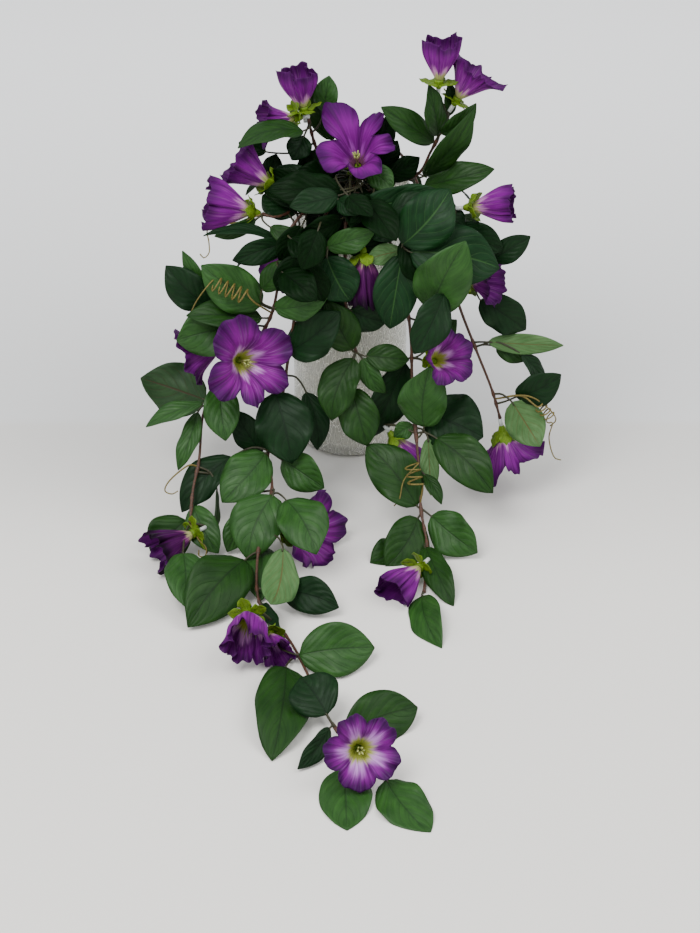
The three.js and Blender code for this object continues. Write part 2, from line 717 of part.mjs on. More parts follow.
// A thin round stalk from the stem to a calyx or to the foot of a leaf that turns back, bowed a little upwards.
function pedicel(from, to, direction, radius) {
  const span = from.distanceTo(to);
  const middle = from.clone().lerp(to, 0.5).addScaledVector(UP, span * 0.08);
  const end = to.clone().addScaledVector(direction, 0.4);
  return rod(new THREE.QuadraticBezierCurve3(from, middle, end), span > 30 ? 3 : 2, 3, radius * 1.25, radius * 1.1);
}

const PUSHES = [0, 6, -6, 12, -12, 18, -18, 25, -25, 33, -33, 42, -42];   // mm along the sight line

// Bends a leaf nearer or further along its sight line until it crosses nothing of another piece and, where that
// can be had, no other leaf of its own spray. A leaf that finds no room is left out.
function growLeaf(owner, curve, spec) {
  const footPoint = spec.foot.isVector3 ? spec.foot : seen(spec.foot);
  const tipPoint = spec.tip.isVector3 ? spec.tip : seen(spec.tip);
  const tries = [];
  for (const loose of [false, true]) {
    for (const share of [0.35, 1]) for (const push of PUSHES) tries.push([push * share, push, loose]);
  }
  for (const [footPush, tipPush, loose] of tries) {
    const foot = pushed(footPoint, footPush);
    const tip = pushed(tipPoint, tipPush);
    const middle = foot.clone().lerp(tip, 0.5);
    const face = faceOf(spec, middle);
    const along = tip.clone().sub(foot).normalize();
    const from = rootOn(curve, foot, along);
    const reach = foot.clone().sub(from);
    const parts = [];
    if (reach.length() > PETIOLE.shortest && reach.angleTo(along) >= PETIOLE.turn) {
      parts.push(pedicel(from, foot, along, PETIOLE.thickness / 2));
    }
    const swollen = BLADE.thickness + TEST_SWELL;
    const clearOfRoot = from.clone().lerp(foot, Math.min(0.9, CROWD / reach.length()));
    const free = leafSolid(clearOfRoot, foot, tip, spec, face, swollen);
    if (!loose && crossedKin(owner, free)) continue;
    const whole = leafSolid(from, foot, tip, spec, face, swollen);
    if (![whole, ...parts].some((solid) => crossed(owner, solid))) {
      parts.push(leafSolid(from, foot, tip, spec, face, BLADE.thickness));
      kin.push({ owner, solid: free, box: boxOf(free) });
      return parts;
    }
  }
  return [];
}

function pushed(point, distance) {
  const moved = point.clone().addScaledVector(EYE.clone().sub(point).normalize(), distance);
  moved.z = Math.max(moved.z, LIE);
  return moved;
}

function faceOf(spec, middle) {
  if (spec.face?.isVector3) return spec.face;
  if (spec.face) return heading(spec.face);
  const toEye = EYE.clone().sub(middle).normalize();
  const out = new THREE.Vector3(middle.x, middle.y, 0).normalize();
  return toEye.addScaledVector(out, 0.3).addScaledVector(UP, 0.15).normalize();
}

// A wire tendril from the stem: its path, a coil of some turns and a loose tail.
function tendril(curve, spec) {
  const start = seen(spec.coil[0]);
  const finish = seen(spec.coil[1]);
  const axis = finish.clone().sub(start);
  const side = axis.clone().cross(UP).normalize();
  const over = side.clone().cross(axis).normalize();
  const steps = spec.turns * TENDRIL.perTurn;
  const points = [nearestOn(curve, seen(spec.path[0])), ...spec.path.slice(1, -1).map(seen)];
  for (let i = 0; i <= steps; i += 1) {
    const turn = (2 * Math.PI * i) / TENDRIL.perTurn;
    points.push(start.clone().addScaledVector(axis, i / steps)
      .addScaledVector(side, spec.radius * Math.cos(turn)).addScaledVector(over, spec.radius * Math.sin(turn)));
  }
  points.push(...spec.tail.map(seen));
  const path = new THREE.CatmullRomCurve3(points);
  return rod(path, steps + 8, TENDRIL.sides, TENDRIL.radius * 1.1, TENDRIL.radius * 0.8);
}

// A stem starts on the head of the stalk, clears its neighbours and passes over the rim to its listed places.
function readySpray(spec) {
  const places = spec.stem[0].isVector3 ? spec.stem : spec.stem.map(seen);
  const [azimuth, ringName] = spec.root;
  const standing = heading([azimuth, 0]);
  const leaving = new THREE.Vector3(places[0].x, places[0].y, 0).normalize();
  const rise = ringName === 'outer' ? ROOT.outerRise : ROOT.innerRise;
  const root = standing.clone().multiplyScalar(ROOT[ringName]).setZ(STALK.rise + ROOT.gap);
  const above = root.clone().addScaledVector(standing, 1.5).setZ(STALK.rise + rise);
  const points = [root, above];
  if (!spec.upright) {
    points.push(leaving.multiplyScalar(ROOT.passRadius).setZ((above.z + places[0].z) / 2 + rise / 2));
  }
  points.push(...places);
  return { ...spec, curve: new THREE.CatmullRomCurve3(points) };
}

function growStem(curve) {
  return rod(curve, stemSteps(curve), STEM.sides, STEM.radius, STEM.tip);
}

const bushSpecs = { ...SPRAYS };
for (const back of BACK) bushSpecs[back.name] = backSpray(back);
const sprays = Object.entries(bushSpecs).map(([name, spec]) => ({ name, ...readySpray(spec), parts: [] }));

keep('vase', vaseSolid());
keep('stalk', stalkSolid());
for (const spray of sprays) {
  const stem = growStem(spray.curve);
  spray.parts.push(stem);
  keep(spray.name, stem);
}
const corollas = [];
for (const spray of sprays) {
  spray.blooms.forEach((spec, number) => {
    const base = spec.base.isVector3 ? spec.base : seen(spec.base);
    const mouth = spec.mouth.isVector3 ? spec.mouth : seen(spec.mouth);
    const placedBloom = { ...spec, base, mouth, spin: 0.5 + 1.3 * number };
    const from = nearestOn(spray.curve, base);
    const axis = mouth.clone().sub(base).normalize();
    const seat = base.clone().addScaledVector(axis, -CALYX.length);
    const parts = calyxParts(placedBloom);
    parts.push(pedicel(from, seat, axis, PETIOLE.pedicel));
    for (const part of parts) addToSpray(spray, part);
    const petals = corolla(placedBloom);
    const name = `corolla_${spray.name}_${number + 1}`;
    corollas.push({ name, petals });
    keep(name, petals);
  });
  for (const spec of spray.tendrils) addToSpray(spray, tendril(spray.curve, spec));
}
for (const spray of sprays) {
  for (const spec of spray.leaves) {
    for (const part of growLeaf(spray.name, spray.curve, spec)) {
      spray.parts.push(part);
      keep(spray.name, part);
    }
  }
}

addMesh('vase', placed[0].solid, glass);
addMesh('stalk', placed[1].solid, brown);
for (const spray of sprays) {
  addMesh(`spray_${spray.name}`, wasm.Manifold.union(spray.parts).simplify(0.02), green);
}
for (const { name, petals } of corollas) addMesh(name, petals, purple);

export default model;
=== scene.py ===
# %% [markdown]
# # Petunia bush in a crackle glass vase
# An artificial petunia bush stands in a clear glass cylinder. Its sprays arch over the rim, and the longest
# ones lie on the surface in front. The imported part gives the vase's and the stalk's sizes. This file adds the
# looks: cloth leaves with printed veins, ruffled petals, wire stems and crackled glass.

# %%
import math
import random

import bpy
import numpy as np
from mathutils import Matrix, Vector
from mathutils.bvhtree import BVHTree


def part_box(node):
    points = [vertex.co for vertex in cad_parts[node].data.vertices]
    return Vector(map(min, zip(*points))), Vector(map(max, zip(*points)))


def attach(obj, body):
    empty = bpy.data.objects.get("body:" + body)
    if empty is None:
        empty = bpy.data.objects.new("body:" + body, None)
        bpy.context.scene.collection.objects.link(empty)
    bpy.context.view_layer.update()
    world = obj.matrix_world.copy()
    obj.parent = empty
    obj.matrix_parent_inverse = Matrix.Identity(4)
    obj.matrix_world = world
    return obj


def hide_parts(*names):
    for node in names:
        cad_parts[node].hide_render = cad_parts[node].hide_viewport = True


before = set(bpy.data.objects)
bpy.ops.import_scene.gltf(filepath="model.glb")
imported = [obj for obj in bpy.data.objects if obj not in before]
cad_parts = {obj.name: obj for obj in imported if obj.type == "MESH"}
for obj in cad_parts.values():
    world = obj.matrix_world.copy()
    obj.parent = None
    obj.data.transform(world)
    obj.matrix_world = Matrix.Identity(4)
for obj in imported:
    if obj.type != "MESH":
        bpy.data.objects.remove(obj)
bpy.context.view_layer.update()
vase_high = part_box("vase")[1]
stalk_low, stalk_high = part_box("stalk")
print("nodes", len(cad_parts), "vase top", round(vase_high.z, 3))

# %% [markdown]
# ## Driving sizes
# Millimetres. The counts of rows, columns, steps and sides are numbers, roll is in degrees, and a blade's
# fold, arch, droop and wave are shares of its own size.

# %%
MM = 0.001
VASE = {"wall": 3, "lip": 2, "base": 9, "corner": 8, "inner_corner": 5, "neck": 10, "sides": 128}
STEM = {"radius": 1.65, "tip": 1.15, "sides": 8, "step": 5, "knot": 0.7, "knot_reach": 4}
ROOT = {
    "middle": 0, "inner": 5.2, "outer": 11, "gap": 0.8, "inner_rise": 16, "outer_rise": 8, "pass_radius": 34,
}
STALK = {
    "foot": (34, -4), "lift": 1.4, "strands": 7, "turns": 1.4, "radius": 2.2, "sides": 8, "ring": 4.3,
    "spread": 5.2, "steps": 40,
}
PETIOLE = {"root": 1.1, "tip": 0.8, "sides": 6}
PEDICEL = {"root": 1.3, "tip": 1.1, "run_in": 7}
STUB = {"root": 2.0, "tip": 2.1, "sides": 10}
BLADE = {
    "thickness": 0.35, "rows": 18, "columns": 10, "fold": 0.2, "arch": 0.07, "droop": 0.12, "wave": 0.1,
    "roll": 24,
}
PETAL = {"thickness": 0.3, "lobes": 5, "per_lobe": 28, "rows": 24, "foot": 2.9}
CALYX = {
    "radius": 4.4, "length": 8, "cup_sides": 16, "sepals": 5, "sepal_length": 16, "sepal_width": 12.5,
    "sepal_thickness": 0.4, "sepal_arch": -0.1,
}
CUP = ((-8, 2.2), (-6.5, 3.0), (-4, 3.9), (-1.5, 4.4), (0.5, 4.6), (0.3, 3.4))    # height and radius
STAMEN = {"count": 6, "sides": 6, "radii": (0.45, 0.45, 0.42, 0.42, 1.15, 0.5)}
TENDRIL = {"root": 0.9, "tip": 0.6, "sides": 6, "steps_per_turn": 8}
LIE = 1.0                # the least height of a listed place above the surface
FLOOR_GAP = 0.35         # the least gap under a sheet
SHEET_RISE = 0.2         # from that gap to the sheet's middle

# %% [markdown]
# ## The photograph's sight lines
# A place is written (right, down, fore): its pixel in the 700 x 933 picture, and how far it lies in front of
# the vase's axis in millimetres. The camera stands where the ellipses of the rim and the foot put it.

# %%
PICTURE = {"width": 700, "height": 933, "focal": 2400}
EYE = Vector((0, -2.013, 1.307))
LOOK_DOWN = math.radians(33.92)
UP = Vector((0, 0, 1))
SEEN_UP = Vector((0, math.sin(LOOK_DOWN), math.cos(LOOK_DOWN)))


def seen(place):
    """The point, in metres, at a place. One below the surface moves up its sight line to it."""
    right, down, fore = place
    across = (right - PICTURE["width"] / 2) / PICTURE["focal"]
    above = (PICTURE["height"] / 2 - down) / PICTURE["focal"]
    line = Vector((
        across,
        math.cos(LOOK_DOWN) + above * math.sin(LOOK_DOWN),
        -math.sin(LOOK_DOWN) + above * math.cos(LOOK_DOWN),
    ))
    point = EYE + line * ((-fore * MM - EYE.y) / line.y)
    if point.z < LIE * MM:
        point = EYE + line * ((LIE * MM - EYE.z) / line.z)
    return point


def heading(azimuth, rise):
    """A direction: azimuth 0 points to the viewer and 90 to the right, in degrees."""
    turn = math.radians(azimuth)
    lift = math.radians(rise)
    return Vector((math.sin(turn) * math.cos(lift), -math.cos(turn) * math.cos(lift), math.sin(lift)))


# %% [markdown]
# ## Materials
# Cloth that is printed and lightly embossed, so the veins and streaks are drawn from each sheet's own
# coordinates: u runs along it and v across it. The groups are shared, and each material gives them its own
# colours.

# %%
class Graph:
    """Short calls that add nodes to a node tree."""

    def __init__(self, tree):
        self.tree = tree

    def add(self, kind, **settings):
        node = self.tree.nodes.new(kind)
        for name, value in settings.items():
            setattr(node, name, value)
        return node

    def put(self, socket, value):
        if isinstance(value, bpy.types.NodeSocket):
            self.tree.links.new(value, socket)
        else:
            socket.default_value = value

    def math(self, operation, *values):
        node = self.add("ShaderNodeMath", operation=operation)
        for socket, value in zip(node.inputs, values):
            self.put(socket, value)
        return node.outputs[0]

    def times(self, first, second):
        return self.math("MULTIPLY", first, second)

    def scaled(self, value, factor, added):
        return self.math("MULTIPLY_ADD", value, factor, added)

    def plus(self, first, second):
        return self.math("ADD", first, second)

    def minus(self, first, second):
        return self.math("SUBTRACT", first, second)

    def most(self, first, second):
        return self.math("MAXIMUM", first, second)

    def size(self, value):
        return self.math("ABSOLUTE", value)

    def band(self, value, low, high, to_low=0.0, to_high=1.0):
        """A smooth step of value from low to high."""
        node = self.add("ShaderNodeMapRange", interpolation_type="SMOOTHSTEP")
        for socket, given in zip(node.inputs, (value, low, high, to_low, to_high)):
            self.put(socket, given)
        return node.outputs[0]

    def mix(self, share, first, second, blend="MIX"):
        node = self.add("ShaderNodeMix", data_type="RGBA", blend_type=blend)
        for socket, given in ((node.inputs[0], share), (node.inputs[6], first), (node.inputs[7], second)):
            self.put(socket, given)
        return node.outputs[2]

    def noise(self, vector, scale, detail=2.0):
        node = self.add("ShaderNodeTexNoise")
        self.put(node.inputs["Vector"], vector)
        self.put(node.inputs["Scale"], scale)
        self.put(node.inputs["Detail"], detail)
        return node.outputs["Fac"]

    def point(self, x, y, z=0.0):
        node = self.add("ShaderNodeCombineXYZ")
        for socket, given in zip(node.inputs, (x, y, z)):
            self.put(socket, given)
        return node.outputs[0]

    def sheet_place(self):
        """u and v of the sheet, and a number of its own for each sheet."""
        spread = self.add("ShaderNodeSeparateXYZ")
        self.put(spread.inputs[0], self.add("ShaderNodeUVMap", uv_map="sheet").outputs[0])
        own = self.add("ShaderNodeAttribute", attribute_name="own").outputs["Fac"]
        return spread.outputs[0], spread.outputs[1], own


def linear(level):
    """The linear share of light of a 0..255 screen level."""
    return ((level / 255 + 0.055) / 1.055) ** 2.4 if level > 10 else level / 3294


def rgb(red, green, blue):
    """A colour socket's value from 0..255 screen levels."""
    return linear(red), linear(green), linear(blue), 1.0


def new_group(name, inputs, outputs):
    tree = bpy.data.node_groups.new(name, "ShaderNodeTree")
    for label, kind in inputs:
        tree.interface.new_socket(label, in_out="INPUT", socket_type=kind)
    for label, kind in outputs:
        tree.interface.new_socket(label, in_out="OUTPUT", socket_type=kind)
    graph = Graph(tree)
    entry = graph.add("NodeGroupInput")
    out = graph.add("NodeGroupOutput")
    return graph, {s.name: s for s in entry.outputs if s.name}, {s.name: s for s in out.inputs if s.name}


COLOR = "NodeSocketColor"
FLOAT = "NodeSocketFloat"
PRINT_OUTPUTS = [("Color", COLOR), ("Roughness", FLOAT), ("Height", FLOAT)]


def leaf_print_group():
    """Midrib, curved side veins, lighter bands of painted sheen between them, and a slow change of shade."""
    names = [("Deep", COLOR), ("Bright", COLOR), ("Vein", COLOR), ("Vein Strength", FLOAT), ("Sheen", FLOAT)]
    graph, given, out = new_group("leaf_print", names, PRINT_OUTPUTS)
    u, v, own = graph.sheet_place()
    aside = graph.size(graph.minus(graph.times(v, 2.0), 1.0))
    drift = graph.noise(graph.point(u, v, own), 3.0)
    wander = graph.times(graph.minus(drift, 0.5), 0.16)
    bent = graph.plus(graph.math("POWER", aside, 1.25), wander)
    line = graph.minus(graph.times(u, 5.5), graph.times(bent, 2.6))
    phase = graph.size(graph.minus(graph.math("FRACT", line), 0.5))
    side_vein = graph.band(phase, 0.0, 0.045, 1.0, 0.0)
    fading = graph.band(aside, 0.72, 0.98, 1.0, 0.0)
    side_vein = graph.times(side_vein, fading)
    midrib = graph.band(aside, 0.012, 0.055, 1.0, 0.0)
    vein = graph.most(midrib, graph.times(side_vein, 0.8))
    drawn_out = graph.point(graph.times(line, 0.9), graph.times(aside, 1.5), own)
    bands = graph.noise(drawn_out, 1.3, 3.0)
    # Painted sheen: noisy bands away from the midrib that lighten the colour, and make the cloth a little
    # smoother.
    painted_sheen = graph.times(graph.band(bands, 0.4, 0.75), graph.band(aside, 0.03, 0.25))
    blotch = graph.noise(graph.point(u, v, graph.times(own, 7.0)), 5.0, 4.0)
    fine = graph.point(graph.times(line, 4.5), graph.times(aside, 1.6), own)
    streak = graph.scaled(graph.noise(fine, 1.0, 4.0), 0.75, -0.47)
    shade = graph.scaled(blotch, 0.7, graph.scaled(painted_sheen, 0.22, streak))
    body = graph.mix(graph.math("MINIMUM", graph.most(shade, 0.0), 1.0), given["Deep"], given["Bright"])
    weave = graph.noise(graph.point(graph.times(u, 160.0), graph.times(v, 110.0), own), 1.0)
    strength = graph.times(vein, given["Vein Strength"])
    printed = graph.mix(strength, body, given["Vein"])
    threads = graph.scaled(weave, 0.22, 0.89)
    graph.put(out["Color"], graph.mix(1.0, printed, graph.point(threads, threads, threads), "MULTIPLY"))
    graph.put(out["Roughness"], graph.minus(given["Sheen"], graph.times(painted_sheen, 0.1)))
    pillow = graph.times(graph.band(phase, 0.0, 0.5), graph.times(fading, graph.band(aside, 0.0, 0.3)))
    puffed = graph.minus(graph.scaled(pillow, 0.34, graph.times(blotch, 1.1)), graph.times(vein, 0.3))
    graph.put(out["Height"], graph.scaled(weave, 0.06, puffed))
    return graph.tree


def petal_print_group():
    """Throat, pale rays that reach furthest along the middle of each lobe, fine veins that fan out over it,
    darker notches and margin. The notches' dark is painted shade in the folds between lobes, and the margin's
    is partly print and partly painted shade. u runs from foot to rim, and v from 0 to 1 over each lobe."""
    names = [("Throat", COLOR), ("Pale", COLOR), ("Body", COLOR), ("Margin", COLOR), ("Pale Reach", FLOAT)]
    graph, given, out = new_group("petal_print", names, PRINT_OUTPUTS)
    u, v, own = graph.sheet_place()
    seat = graph.times(own, 9.0)
    aside = graph.times(graph.size(graph.minus(graph.math("FRACT", v), 0.5)), 2.0)
    rays = graph.noise(graph.point(graph.times(v, 6.0), graph.times(u, 1.2), seat), 1.0, 3.0)
    threads = graph.noise(graph.point(graph.times(v, 26.0), graph.times(u, 1.8), seat), 1.0, 4.0)
    veins = graph.noise(graph.point(graph.times(v, 15.0), graph.times(u, 0.8), seat), 1.0, 2.0)
    uneven = graph.scaled(graph.minus(rays, 0.5), 0.45, u)
    faint = graph.scaled(graph.minus(threads, 0.5), 0.3, uneven)
    spread = graph.scaled(graph.math("POWER", aside, 1.5), 0.34, graph.minus(faint, 0.1))
    reach = given["Pale Reach"]
    pale = graph.band(spread, graph.times(reach, 0.5), graph.times(reach, 1.25), 1.0, 0.0)
    # Painted shade at the notches between the lobes, and a darker margin towards the rim, partly print and
    # partly painted shade.
    edge = graph.most(graph.band(faint, 0.64, 0.98), graph.times(graph.band(aside, 0.6, 1.0), 0.55))
    body = graph.mix(edge, given["Body"], given["Margin"])
    line = graph.times(graph.band(threads, 0.46, 0.72), graph.band(u, 0.3, 0.95, 0.34, 0.05))
    lit = graph.mix(line, body, given["Pale"])
    washed = graph.mix(pale, lit, given["Pale"])
    inner = graph.band(faint, graph.times(reach, 0.4), graph.times(reach, 0.85), 1.0, 0.0)
    painted = graph.mix(inner, washed, given["Throat"])
    dark = graph.band(veins, 0.34, 0.46, 0.66, 1.0)
    graph.put(out["Color"], graph.mix(1.0, painted, graph.point(dark, dark, dark), "MULTIPLY"))
    graph.put(out["Roughness"], graph.scaled(threads, 0.2, 0.5))
    graph.put(out["Height"], graph.plus(rays, graph.times(threads, 0.3)))
    return graph.tree


def crackle_group():
    """Fine cracks that run mostly up and down the glass wall, and specks of painted glint, as a share of white
    and a bump. The cracks' white is partly painted highlight.
    """
    graph, given, out = new_group("crackle", [("Scale", FLOAT)], [("Cracks_and_glints", FLOAT), ("Height", FLOAT)])
    place = graph.add("ShaderNodeNewGeometry").outputs["Position"]
    parts = graph.add("ShaderNodeSeparateXYZ")
    graph.put(parts.inputs[0], place)
    warp = graph.noise(place, 60.0, 3.0)
    flat = graph.point(
        graph.scaled(warp, 0.012, parts.outputs[0]),
        graph.scaled(warp, 0.012, parts.outputs[1]),
        graph.times(parts.outputs[2], 0.26),
    )
    crack = None
    for share, stretch in ((1.0, 1.0), (0.7, 2.3)):
        cells = graph.add("ShaderNodeTexVoronoi", feature="DISTANCE_TO_EDGE")
        graph.put(cells.inputs["Vector"], flat)
        graph.put(cells.inputs["Scale"], graph.times(given["Scale"], stretch))
        line = graph.times(graph.band(cells.outputs[0], 0.02, 0.1, 1.0, 0.0), share)
        crack = line if crack is None else graph.most(crack, line)
    # Painted glints: fine specks of white over the wall.
    painted_glints = graph.band(graph.noise(flat, 420.0, 3.0), 0.45, 0.75)
    both = graph.most(crack, graph.times(painted_glints, 0.6))
    graph.put(out["Cracks_and_glints"], both)
    graph.put(out["Height"], graph.minus(1.0, both))
    return graph.tree


def new_material(name, color, roughness, coat=0.0):
    material = bpy.data.materials.new(name)
    material.use_nodes = True
    shader = material.node_tree.nodes["Principled BSDF"]
    shader.inputs["Base Color"].default_value = color
    shader.inputs["Roughness"].default_value = roughness
    shader.inputs["Coat Weight"].default_value = coat
    material.diffuse_color = color
    return material, Graph(material.node_tree), shader


def bump(graph, shader, height, strength, distance):
    node = graph.add("ShaderNodeBump")
    node.inputs["Strength"].default_value = strength
    node.inputs["Distance"].default_value = distance
    graph.put(node.inputs["Height"], height)
    graph.put(shader.inputs["Normal"], node.outputs[0])


def printed_material(name, group, values, height, shine):
    """A material whose colour, roughness and bump come from one of the print groups."""
    material, graph, shader = new_material(name, (0.5, 0.5, 0.5, 1.0), 0.5)
    shader.inputs["Specular IOR Level"].default_value = shine
    print_node = graph.add("ShaderNodeGroup")
    print_node.node_tree = group
    for label, value in values.items():
        print_node.inputs[label].default_value = value
    graph.put(shader.inputs["Base Color"], print_node.outputs["Color"])
    graph.put(shader.inputs["Roughness"], print_node.outputs["Roughness"])
    bump(graph, shader, print_node.outputs["Height"], height, 1.2 * MM)
    return material


def wire_material(name, light, dark):
    """Paper-wrapped wire: the wrap's turns show as bands along it."""
    material, graph, shader = new_material(name, light, 0.62)
    u, v, own = graph.sheet_place()
    wrap = graph.noise(graph.point(graph.times(u, 60.0), graph.times(v, 3.0), own), 1.0, 3.0)
    graph.put(shader.inputs["Base Color"], graph.mix(graph.band(wrap, 0.35, 0.65), light, dark))
    bump(graph, shader, wrap, 0.5, 0.5 * MM)
    return material


def glass_material(group):
    material, graph, shader = new_material("crackle_glass", rgb(240, 242, 240), 0.08)
    shader.inputs["Transmission Weight"].default_value = 0.57
    shader.inputs["IOR"].default_value = 1.46
    cracks = graph.add("ShaderNodeGroup")
    cracks.node_tree = group
    cracks.inputs["Scale"].default_value = 300.0
    # White along the cracks, partly painted highlight, and at the painted glints.
    color = graph.mix(cracks.outputs["Cracks_and_glints"], rgb(244, 243, 230), rgb(255, 255, 246))
    graph.put(shader.inputs["Base Color"], color)
    graph.put(shader.inputs["Roughness"], graph.scaled(cracks.outputs["Cracks_and_glints"], 0.25, 0.03))
    bump(graph, shader, cracks.outputs["Height"], 0.7, 0.8 * MM)
    return material


# %%
leaf_print = leaf_print_group()
petal_print = petal_print_group()
# Lit and shaded copies of one leaf cloth. Mid, moss and dark differ partly in the leaves' own tone and partly
# by painted light and painted shade; deep is painted shade for the leaves inside the crown, and the last, with
# lighter veins and midrib, is a dark leaf with painted sheen.
LEAF_SHADES = {          # the deep, bright and vein colours of an upper side, and its shine
    "mid": ((22, 56, 14), (50, 92, 34), (12, 34, 8), 0.22),
    "moss": ((12, 42, 6), (34, 70, 16), (4, 22, 2), 0.18),
    "dark": ((4, 27, 7), (18, 50, 19), (1, 15, 3), 0.13),
    "deep": ((1, 17, 1), (6, 33, 5), (0, 8, 0), 0.06),
    "painted_sheen": ((3, 30, 9), (22, 60, 26), (52, 88, 40), 0.14),
}
# Two copies of one underside: plain, and a lighter pale one, painted light on undersides turned to the light.
UNDERSIDES = {
    "plain": ((18, 44, 16), (42, 72, 34), (48, 30, 14), 0.22),
    "pale": ((52, 86, 42), (92, 124, 76), (84, 66, 34), 0.22),
}
SEPAL = ((66, 98, 6), (124, 150, 28), (150, 170, 60), 0.22)
PETAL_LOOKS = {          # throat, pale rays, body, margin, how far the rays reach, and the shine
    "inside": ((126, 134, 34), (196, 132, 196), (88, 0, 98), (54, 0, 64), 0.36, 0.12),
    # Plain, bright and rayed are lighter copies of the inside for open blooms that face the light: painted
    # light. Plain's rays are shorter and rayed's much longer, which is print.
    "plain": ((120, 70, 100), (160, 70, 172), (106, 2, 114), (62, 0, 74), 0.3, 0.12),
    "bright": ((160, 170, 70), (206, 150, 214), (112, 2, 118), (54, 0, 66), 0.42, 0.12),
    "rayed": ((170, 180, 76), (206, 150, 222), (108, 2, 116), (50, 0, 62), 0.62, 0.12),
    "outside": ((166, 166, 104), (184, 124, 176), (102, 2, 112), (60, 0, 70), 0.31, 0.1),
    # A darker copy of the outside for hanging blooms that lie in shade: painted shade.
    "painted_shade": ((160, 160, 104), (120, 56, 110), (56, 0, 60), (14, 0, 18), 0.24, 0.1),
}


def leaf_cloth(name, look, vein_strength, sheen, height):
    deep, bright, vein, shine = look
    return printed_material(name, leaf_print, {
        "Deep": rgb(*deep), "Bright": rgb(*bright), "Vein": rgb(*vein), "Vein Strength": vein_strength,
        "Sheen": sheen,
    }, height, shine)


def petal_cloth(name, look):
    throat, pale, body, margin, reach, shine = look
    return printed_material(name, petal_print, {
        "Throat": rgb(*throat), "Pale": rgb(*pale), "Body": rgb(*body), "Margin": rgb(*margin),
        "Pale Reach": reach,
    }, 0.7, shine)


leaf_upper = [leaf_cloth(f"leaf_{name}", look, 0.5, 0.52, 0.6) for name, look in LEAF_SHADES.items()]
leaf_under = [leaf_cloth(f"underside_{name}", look, 0.75, 0.62, 0.6) for name, look in UNDERSIDES.items()]
petal_prints = {name: petal_cloth(f"petal_{name}", look) for name, look in PETAL_LOOKS.items()}
sepal_cloth = leaf_cloth("sepal_cloth", SEPAL, 0.3, 0.55, 0.5)
stem_wire = wire_material("stem_wire", rgb(78, 42, 20), rgb(44, 22, 10))
petiole_wire = wire_material("petiole_wire", rgb(44, 48, 14), rgb(34, 26, 10))
tendril_wire = wire_material("tendril_wire", rgb(112, 100, 36), rgb(84, 68, 24))
stub_plastic, _, _ = new_material("stub_plastic", rgb(186, 190, 186), 0.35, 0.3)
stamen_plastic, _, _ = new_material("stamen_plastic", rgb(160, 168, 96), 0.5)
glass = glass_material(crackle_group())
print("materials", len(bpy.data.materials))

# %% [markdown]
# ## Sheets, rods and curves
# Every piece is built as points and faces. A sheet is closed, with a front and a back that take their own
# material.

# %%
WIRE_UV = 10             # how far u runs along a wire in each metre
CURVE_STEPS = 16         # of a curve between two of its places


class Build:
    """Collects points and faces, and makes one mesh object of them."""

    def __init__(self):
        self.points = []
        self.faces = []
        self.slots = []
        self.corners = []
        self.own = []

    def add(self, points, faces, slots, sheet_uv, own):
        start = len(self.points)
        self.points.extend(points)
        self.own.extend([own] * len(points))
        for face, slot in zip(faces, slots):
            self.faces.append([start + i for i in face])
            self.slots.append(slot)
        self.corners.extend(sheet_uv)

    def to_object(self, name, materials):
        mesh = bpy.data.meshes.new(name)
        mesh.from_pydata([tuple(p) for p in self.points], [], self.faces)
        for material in materials:
            mesh.materials.append(material)
        mesh.polygons.foreach_set("material_index", self.slots)
        mesh.uv_layers.new(name="sheet").data.foreach_set("uv", np.array(self.corners, float).ravel())
        mesh.attributes.new("own", "FLOAT", "POINT").data.foreach_set("value", np.array(self.own, float))
        mesh.polygons.foreach_set("use_smooth", [True] * len(mesh.polygons))
        mesh.update()
        made = bpy.data.objects.new(name, mesh)
        bpy.context.scene.collection.objects.link(made)
        return made


def grid_sheet(rows, thickness, slots, own, around=0):
    """A closed sheet from a grid of middle points: front, back and rim. With a number of lobes around, its
    last column joins the first, and v runs from 0 to 1 over each lobe."""
    grid = np.array(rows, float)
    count, width = grid.shape[:2]
    along = np.gradient(grid, axis=0)
    if around:
        across = (np.roll(grid, -1, axis=1) - np.roll(grid, 1, axis=1)) / 2
    else:
        across = np.gradient(grid, axis=1)
    normal = np.cross(across, along)
    normal /= np.maximum(np.linalg.norm(normal, axis=2, keepdims=True), 1e-9)
    front = grid + normal * thickness / 2
    back = grid - normal * thickness / 2
    points = np.concatenate([front.reshape(-1, 3), back.reshape(-1, 3)])
    total = count * width
    spans = width if around else width - 1
    faces, kinds, corners = [], [], []

    def place(r, c):
        return (r / (count - 1), max(around, 1) * c / spans)

    def face(indices, kind, places):
        faces.append(indices)
        kinds.append(kind)
        corners.extend(places)

    for r in range(count - 1):
        for c in range(spans):
            near = r * width + c
            right = r * width + (c + 1) % width
            quad = [near, right, right + width, near + width]
            places = [place(r, c), place(r, c + 1), place(r + 1, c + 1), place(r + 1, c)]
            face(quad, slots[0], places)
            face([quad[i] + total for i in (0, 3, 2, 1)], slots[1], [places[i] for i in (0, 3, 2, 1)])
    for r, flip in ((0, False), (count - 1, True)):
        for c in range(spans):
            one = r * width + c
            two = r * width + (c + 1) % width
            quad = [two, one, one + total, two + total]
            face(quad[::-1] if flip else quad, slots[0], [place(r, c)] * 4)
    if not around:
        for c, flip in ((0, True), (width - 1, False)):
            for r in range(count - 1):
                one = r * width + c
                two = one + width
                quad = [two, one, one + total, two + total]
                face(quad[::-1] if flip else quad, slots[0], [place(r, c)] * 4)
    return points, faces, kinds, corners, own


